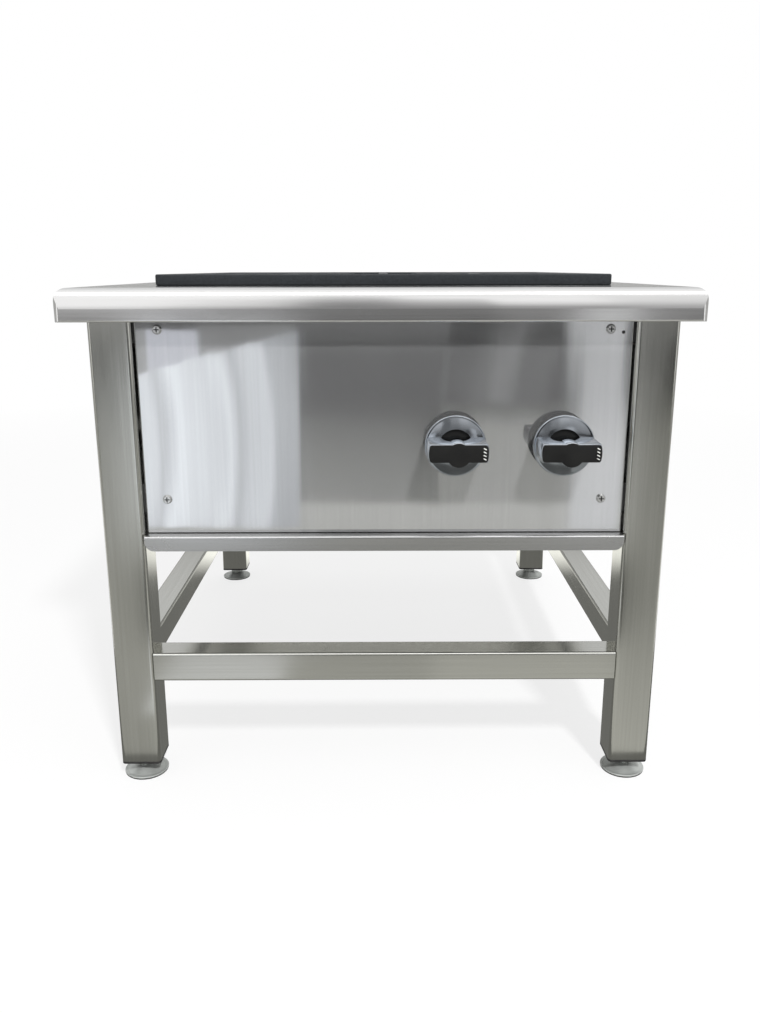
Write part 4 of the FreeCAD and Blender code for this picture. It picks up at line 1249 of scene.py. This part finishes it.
@dataclass
class Studio:
    """Floor, world, lights, cards and the camera at the picture's angle."""

    camera_place: Tint = (-0.0033, -1.1424, 0.5165)
    pitch: float = 14.2
    yaw: float = 0.274
    roll: float = -0.075
    picture_width: float = 760.0
    picture_height: float = 1013.0
    focal_pixels: float = 880.7
    center_x_pixels: float = 385.05
    center_y_pixels: float = 491.25
    sensor: float = 36.0
    floor_half: float = 40.0
    floor_near: float = 0.9
    floor_far: float = 2.6
    floor_glow: float = 0.78
    room_light: float = 0.38

    def floor_cards(self) -> list[Card]:
        """Gives the floor as the steel shows it: near floor warm and lighter, far floor dark."""
        warm = (1.0, 1.0, 0.94)
        sunny = (1.4, 1.4, 1.32)
        near, far = -0.37, -3.02
        dim = ((near, 0.14), (0.3, 0.14), (0.41, 0.95), (0.54, 0.95), (0.62, 0.3), (1.2, 0.3))
        left = ((far, 0.18), (-2.77, 0.2), (-2.32, 0.33), (-1.32, 0.37), (-0.72, 0.46), (near, 0.44))
        right = ((far, 0.2), (-2.77, 0.22), (-2.32, 0.32), (-1.52, 0.31), (-0.82, 0.36), (-0.52, 0.52), (near, 0.6))
        strip = ((-1.39, 0.57), (-1.2, 0.57), (-1.1, 0.57))
        shadow = ((-0.99, 0.12), (-0.72, 0.12))
        centre = ((far, 0.03), (-2.77, 0.04), (-2.37, 0.12), (-1.45, 0.27), *strip, *shadow, (-0.64, 0.5), (near, 0.5))
        beside = ((far, 0.05), (-2.77, 0.12), (-2.37, 0.37), (-1.45, 0.4), *strip, *shadow, (-0.64, 0.6), (near, 0.6))
        return [
            ground("under_card", ((-0.6, near), (0.6, near), (0.6, 1.2), (-0.6, 1.2)), sunny, dim),
            ground("left_floor_card", ((-3.0, far), (-1.02, far), (-0.25, near), (-3.0, near)), warm, left),
            ground("centre_floor_card", ((-1.02, far), (0.225, far), (0.05, near), (-0.25, near)), warm, centre),
            ground("beside_floor_card", ((0.225, far), (1.02, far), (0.25, near), (0.05, near)), warm, beside),
            ground("right_floor_card", ((1.02, far), (3.0, far), (3.0, near), (0.25, near)), warm, right),
        ]

    def wall_cards(self) -> list[Card]:
        """Gives the far wall as the steel shows it: dark below, white above."""
        plain = (1.0, 1.0, 1.0)
        y = -3.02
        dark = ((0.0, 0.02), (0.18, 0.02), (0.24, 0.1))
        levels = {
            "far_left": ((0.0, 0.13), (0.31, 0.13), (0.37, 0.46), (0.52, 0.72), (0.73, 0.95), (1.2, 1.0), (3.0, 1.0)),
            "left": (*dark, (0.36, 0.15), (0.52, 0.42), (0.9, 0.75), (1.7, 0.82), (2.0, 1.0), (3.0, 1.0)),
            "centre": (*dark, (0.36, 0.22), (1.1, 0.24), (1.3, 0.28), (1.8, 0.44), (2.4, 0.92), (3.0, 1.0)),
            "beside": (*dark, (0.36, 0.21), (1.0, 0.4), (1.25, 0.47), (1.7, 0.69), (2.0, 0.96), (3.0, 1.0)),
            "right": (*dark, (0.36, 0.27), (0.73, 0.42), (1.0, 0.6), (1.25, 0.78), (1.7, 0.97), (3.0, 1.0)),
            "far_right": ((0.0, 0.02), (0.31, 0.02), (0.37, 0.35), (1.0, 0.55), (1.7, 0.8), (2.3, 0.85), (3.0, 1.0)),
        }
        bounds = (-3.0, -0.8, -0.35, 0.05, 0.45, 0.95, 3.0)
        return [
            wall(name + "_wall_card", y, low, high, plain, stops)
            for (name, stops), low, high in zip(levels.items(), bounds[:-1], bounds[1:])
        ]

    def cards(self) -> list[Card]:
        """Gives the cards that shape the reflections in the steel."""
        lavender = (0.8, 0.82, 0.89)
        grey = (0.3, 0.3, 0.3)
        dull = (0.5, 0.51, 0.51)
        white = (1.3, 1.35, 1.41)
        pale = (0.8, 0.81, 0.82)
        side = (0.42, 0.42, 0.41)
        gleam = (2.4, 2.4, 2.4)
        plain = (1.0, 1.0, 1.0)
        haze = (0.76, 0.765, 0.77)
        curtain = Fade(
            0,
            (
                (-0.494, 0.87), (-0.455, 0.87), (-0.432, 0.64), (-0.402, 1.0), (-0.37, 0.88), (-0.32, 0.76),
                (-0.302, 0.9), (-0.27, 0.5), (-0.25, 0.68), (-0.221, 0.74), (-0.204, 0.5), (-0.169, 0.42),
            ),
            bow=0.72, middle=0.19,
        )
        dusk = Fade(2, ((0.0, 1.0), (0.15, 1.0), (0.28, 0.78), (0.36, 0.74), (0.38, 0.9), (0.45, 0.9)))
        sheer = Fade(0, ((0.345, 0.0), (0.365, 0.12), (0.4, 0.9), (0.48, 1.0)), bow=0.3, middle=0.2)
        streak = Fade(
            0,
            (
                (0.095, 0.08), (0.118, 0.06), (0.132, 0.03), (0.148, 0.03), (0.17, 0.06), (0.205, 0.12),
                (0.231, 0.2), (0.25, 0.13), (0.268, 0.07), (0.3, 0.075), (0.325, 0.08),
            ),
            bow=-1.71, middle=0.265,
        )
        veil = Fade(0, ((0.095, 0.0), (0.115, 1.0), (0.305, 1.0), (0.325, 0.0)), bow=-1.71, middle=0.265)
        strip = ((-1.6, -2.2), (1.6, -2.2), (1.6, -1.2), (-1.6, -1.2))
        ceiling = ((-6.0, -0.5), (6.0, -0.5), (6.0, 3.4), (-6.0, 3.4))
        cloud = Fade(1, ((-0.5, 1.3), (0.5, 1.1), (3.4, 0.95)))
        flank = ((-2.9, 0.9), (3.3, 0.9), (3.3, 4.4), (-2.9, 4.4))
        sky = Fade(2, ((0.9, 1.3), (1.5, 1.0), (4.5, 0.95)))
        patch = ((-0.29, -0.68), (-0.13, -0.68), (-0.13, -0.46), (-0.29, -0.46))
        left = ((-1.9, -1.0, 0.0), (-1.9, 1.4, 0.0), (-1.9, 1.4, 0.9), (-1.9, -1.0, 0.9))
        right = ((1.9, -1.0, 0.0), (1.9, 1.4, 0.0), (1.9, 1.4, 0.9), (1.9, -1.0, 0.9))
        return [
            *self.floor_cards(),
            *self.wall_cards(),
            Card("patch_card", tuple((x, y, 0.002) for x, y in patch), pale),
            upright("dull_card", -1.25, ((-0.5, 0.2), (-0.4715, 0.2), (-0.4715, 0.4), (-0.5, 0.4)), dull),
            upright("lavender_card", -1.25, ((-0.4715, 0.2), (-0.358, 0.2), (-0.358, 0.4), (-0.4715, 0.4)), lavender),
            upright("grey_card", -1.25, ((-0.358, 0.2), (-0.18, 0.2), (-0.18, 0.41), (-0.358, 0.41)), grey),
            upright(
                "white_card", -1.2, ((-0.488, 0.008), (-0.169, 0.008), (-0.169, 0.402), (-0.488, 0.315)), white,
                fade=curtain,
            ),
            upright(
                "pale_card", -1.2, ((0.34, 0.0), (0.48, 0.0), (0.48, 0.45), (0.34, 0.45)), pale,
                fade=dusk, cover=sheer,
            ),
            upright(
                "streak_card", -1.2, ((0.08, 0.262), (0.338, 0.262), (0.338, 0.418), (0.08, 0.418)), plain,
                fade=streak, cover=veil,
            ),
            Card("strip_card", tuple((x, y, 2.2) for x, y in strip), gleam),
            Card("ceiling_card", tuple((x, y, 4.5) for x, y in ceiling), haze, cloud),
            upright("sky_card", 3.4, ((-6.0, 0.9), (6.0, 0.9), (6.0, 4.5), (-6.0, 4.5)), haze, fade=sky),
            *(
                Card(name, tuple((x, y, z) for y, z in flank), haze, sky)
                for name, x in (("left_sky_card", -2.6), ("right_sky_card", 2.6))
            ),
            Card("left_card", left, side),
            Card("right_card", right, side),
            upright("rear_card", 2.0, ((-1.3, 0.0), (1.3, 0.0), (1.3, 0.8), (-1.3, 0.8)), side),
        ]

    def lights(self) -> list[SoftBox]:
        """Gives the soft lights."""
        middle = (0.0, 0.0, 0.35)
        return [
            SoftBox("key_light", (0.82, -2.75, 2.66), middle, 0.3, 130.0),
            SoftBox("top_light", (0.0, 0.1, 2.8), middle, 4.4, 20.0),
            SoftBox("left_light", (-2.3, -1.8, 1.9), middle, 2.2, 8.0),
            SoftBox("right_light", (2.3, -1.8, 1.7), middle, 2.2, 7.0),
            SoftBox("rear_light", (0.6, 2.6, 2.0), middle, 2.2, 22.0),
        ]

    def set_camera(self) -> None:
        """Puts the camera where the picture was taken from."""
        lens = bpy.data.cameras.new("picture_camera")
        lens.sensor_width = self.sensor
        lens.lens = self.focal_pixels / self.picture_height * self.sensor
        lens.shift_x = (self.picture_width / 2.0 - self.center_x_pixels) / self.picture_height
        lens.shift_y = (self.center_y_pixels - self.picture_height / 2.0) / self.picture_height
        camera = bpy.data.objects.new("picture_camera", lens)
        turn = Matrix.Rotation(math.radians(-self.yaw), 3, "Z")
        tilt = Matrix.Rotation(math.radians(90.0 - self.pitch), 3, "X")
        lean = Matrix.Rotation(math.radians(self.roll), 3, "Z")
        camera.location = self.camera_place
        camera.rotation_euler = (turn @ tilt @ lean).to_euler()
        bpy.context.scene.collection.objects.link(camera)
        bpy.context.scene.camera = camera

    def seen(self, tree: bpy.types.NodeTree) -> Socket:
        """Gives 1 for rays that show the background, straight or in metal and glass, and 0 for others.

        Args:
            tree: Node tree that the nodes are added to.

        Returns:
            The value.
        """
        path = tree.nodes.new("ShaderNodeLightPath")
        total = path.outputs["Is Camera Ray"]
        for name in ("Is Glossy Ray", "Is Transmission Ray"):
            node = tree.nodes.new("ShaderNodeMath")
            node.operation = "MAXIMUM"
            tree.links.new(total, node.inputs[0])
            tree.links.new(path.outputs[name], node.inputs[1])
            total = node.outputs["Value"]
        return total

    def set_world(self) -> None:
        """Makes a white room that lights softly and shows white behind the stove."""
        world = bpy.data.worlds.new("white_room")
        bpy.context.scene.world = world
        world.use_nodes = True
        tree = world.node_tree
        room = tree.nodes["Background"]
        room.inputs["Color"].default_value = rgba((1.0, 1.0, 1.0))
        level = tree.nodes.new("ShaderNodeMapRange")
        level.inputs["To Min"].default_value = self.room_light
        level.inputs["To Max"].default_value = 1.0
        tree.links.new(self.seen(tree), level.inputs["Value"])
        tree.links.new(level.outputs["Result"], room.inputs["Strength"])

    def set_floor(self) -> None:
        """Lays a pale floor that keeps the shadow near the stove and turns white further out."""
        shape = bmesh.new()
        bmesh.ops.create_grid(shape, x_segments=1, y_segments=1, size=self.floor_half)
        mesh = bpy.data.meshes.new("floor")
        shape.to_mesh(mesh)
        shape.free()
        desk = NodeDesk("pale_floor")
        desk.fix(Roughness=0.9, Specular_IOR_Level=0.0)
        desk.shader.inputs["Base Color"].default_value = rgba((0.86, 0.86, 0.86))
        white = desk.add("ShaderNodeEmission")
        reach = desk.add("ShaderNodeVectorMath")
        reach.operation = "LENGTH"
        desk.join(desk.places, reach.inputs[0])
        far = desk.spread(reach.outputs["Value"], self.floor_glow, 1.0, (self.floor_near, self.floor_far))
        share = desk.add("ShaderNodeMath")
        share.operation = "MULTIPLY"
        desk.join(far, share.inputs[0])
        desk.join(self.seen(desk.tree), share.inputs[1])
        mix = desk.add("ShaderNodeMixShader")
        desk.join(share.outputs["Value"], mix.inputs["Fac"])
        desk.join(desk.shader.outputs["BSDF"], mix.inputs[1])
        desk.join(white.outputs["Emission"], mix.inputs[2])
        desk.join(mix.outputs["Shader"], desk.tree.nodes["Material Output"].inputs["Surface"])
        mesh.materials.append(desk.material)
        floor = bpy.data.objects.new("floor", mesh)
        bpy.context.scene.collection.objects.link(floor)

    def build(self) -> None:
        """Sets up the whole studio."""
        bpy.context.scene.view_settings.view_transform = "Standard"
        self.set_camera()
        self.set_world()
        self.set_floor()
        for item in (*self.lights(), *self.cards()):
            item.build()
        LOG.info("studio: ready")


def main() -> None:
    """Builds the stove's sub-assemblies in order, then the studio."""
    logging.basicConfig(level=logging.INFO, format="%(message)s")
    TubeFrame().build()
    Casing().build()
    GasTrain().build()
    for side in SIDES:
        Knob(side).build()
    for corner in TubeFrame.corners:
        LevellingFoot(corner).build()
    PanGrate().build()
    Studio().build()


if __name__ == "__main__":
    main()
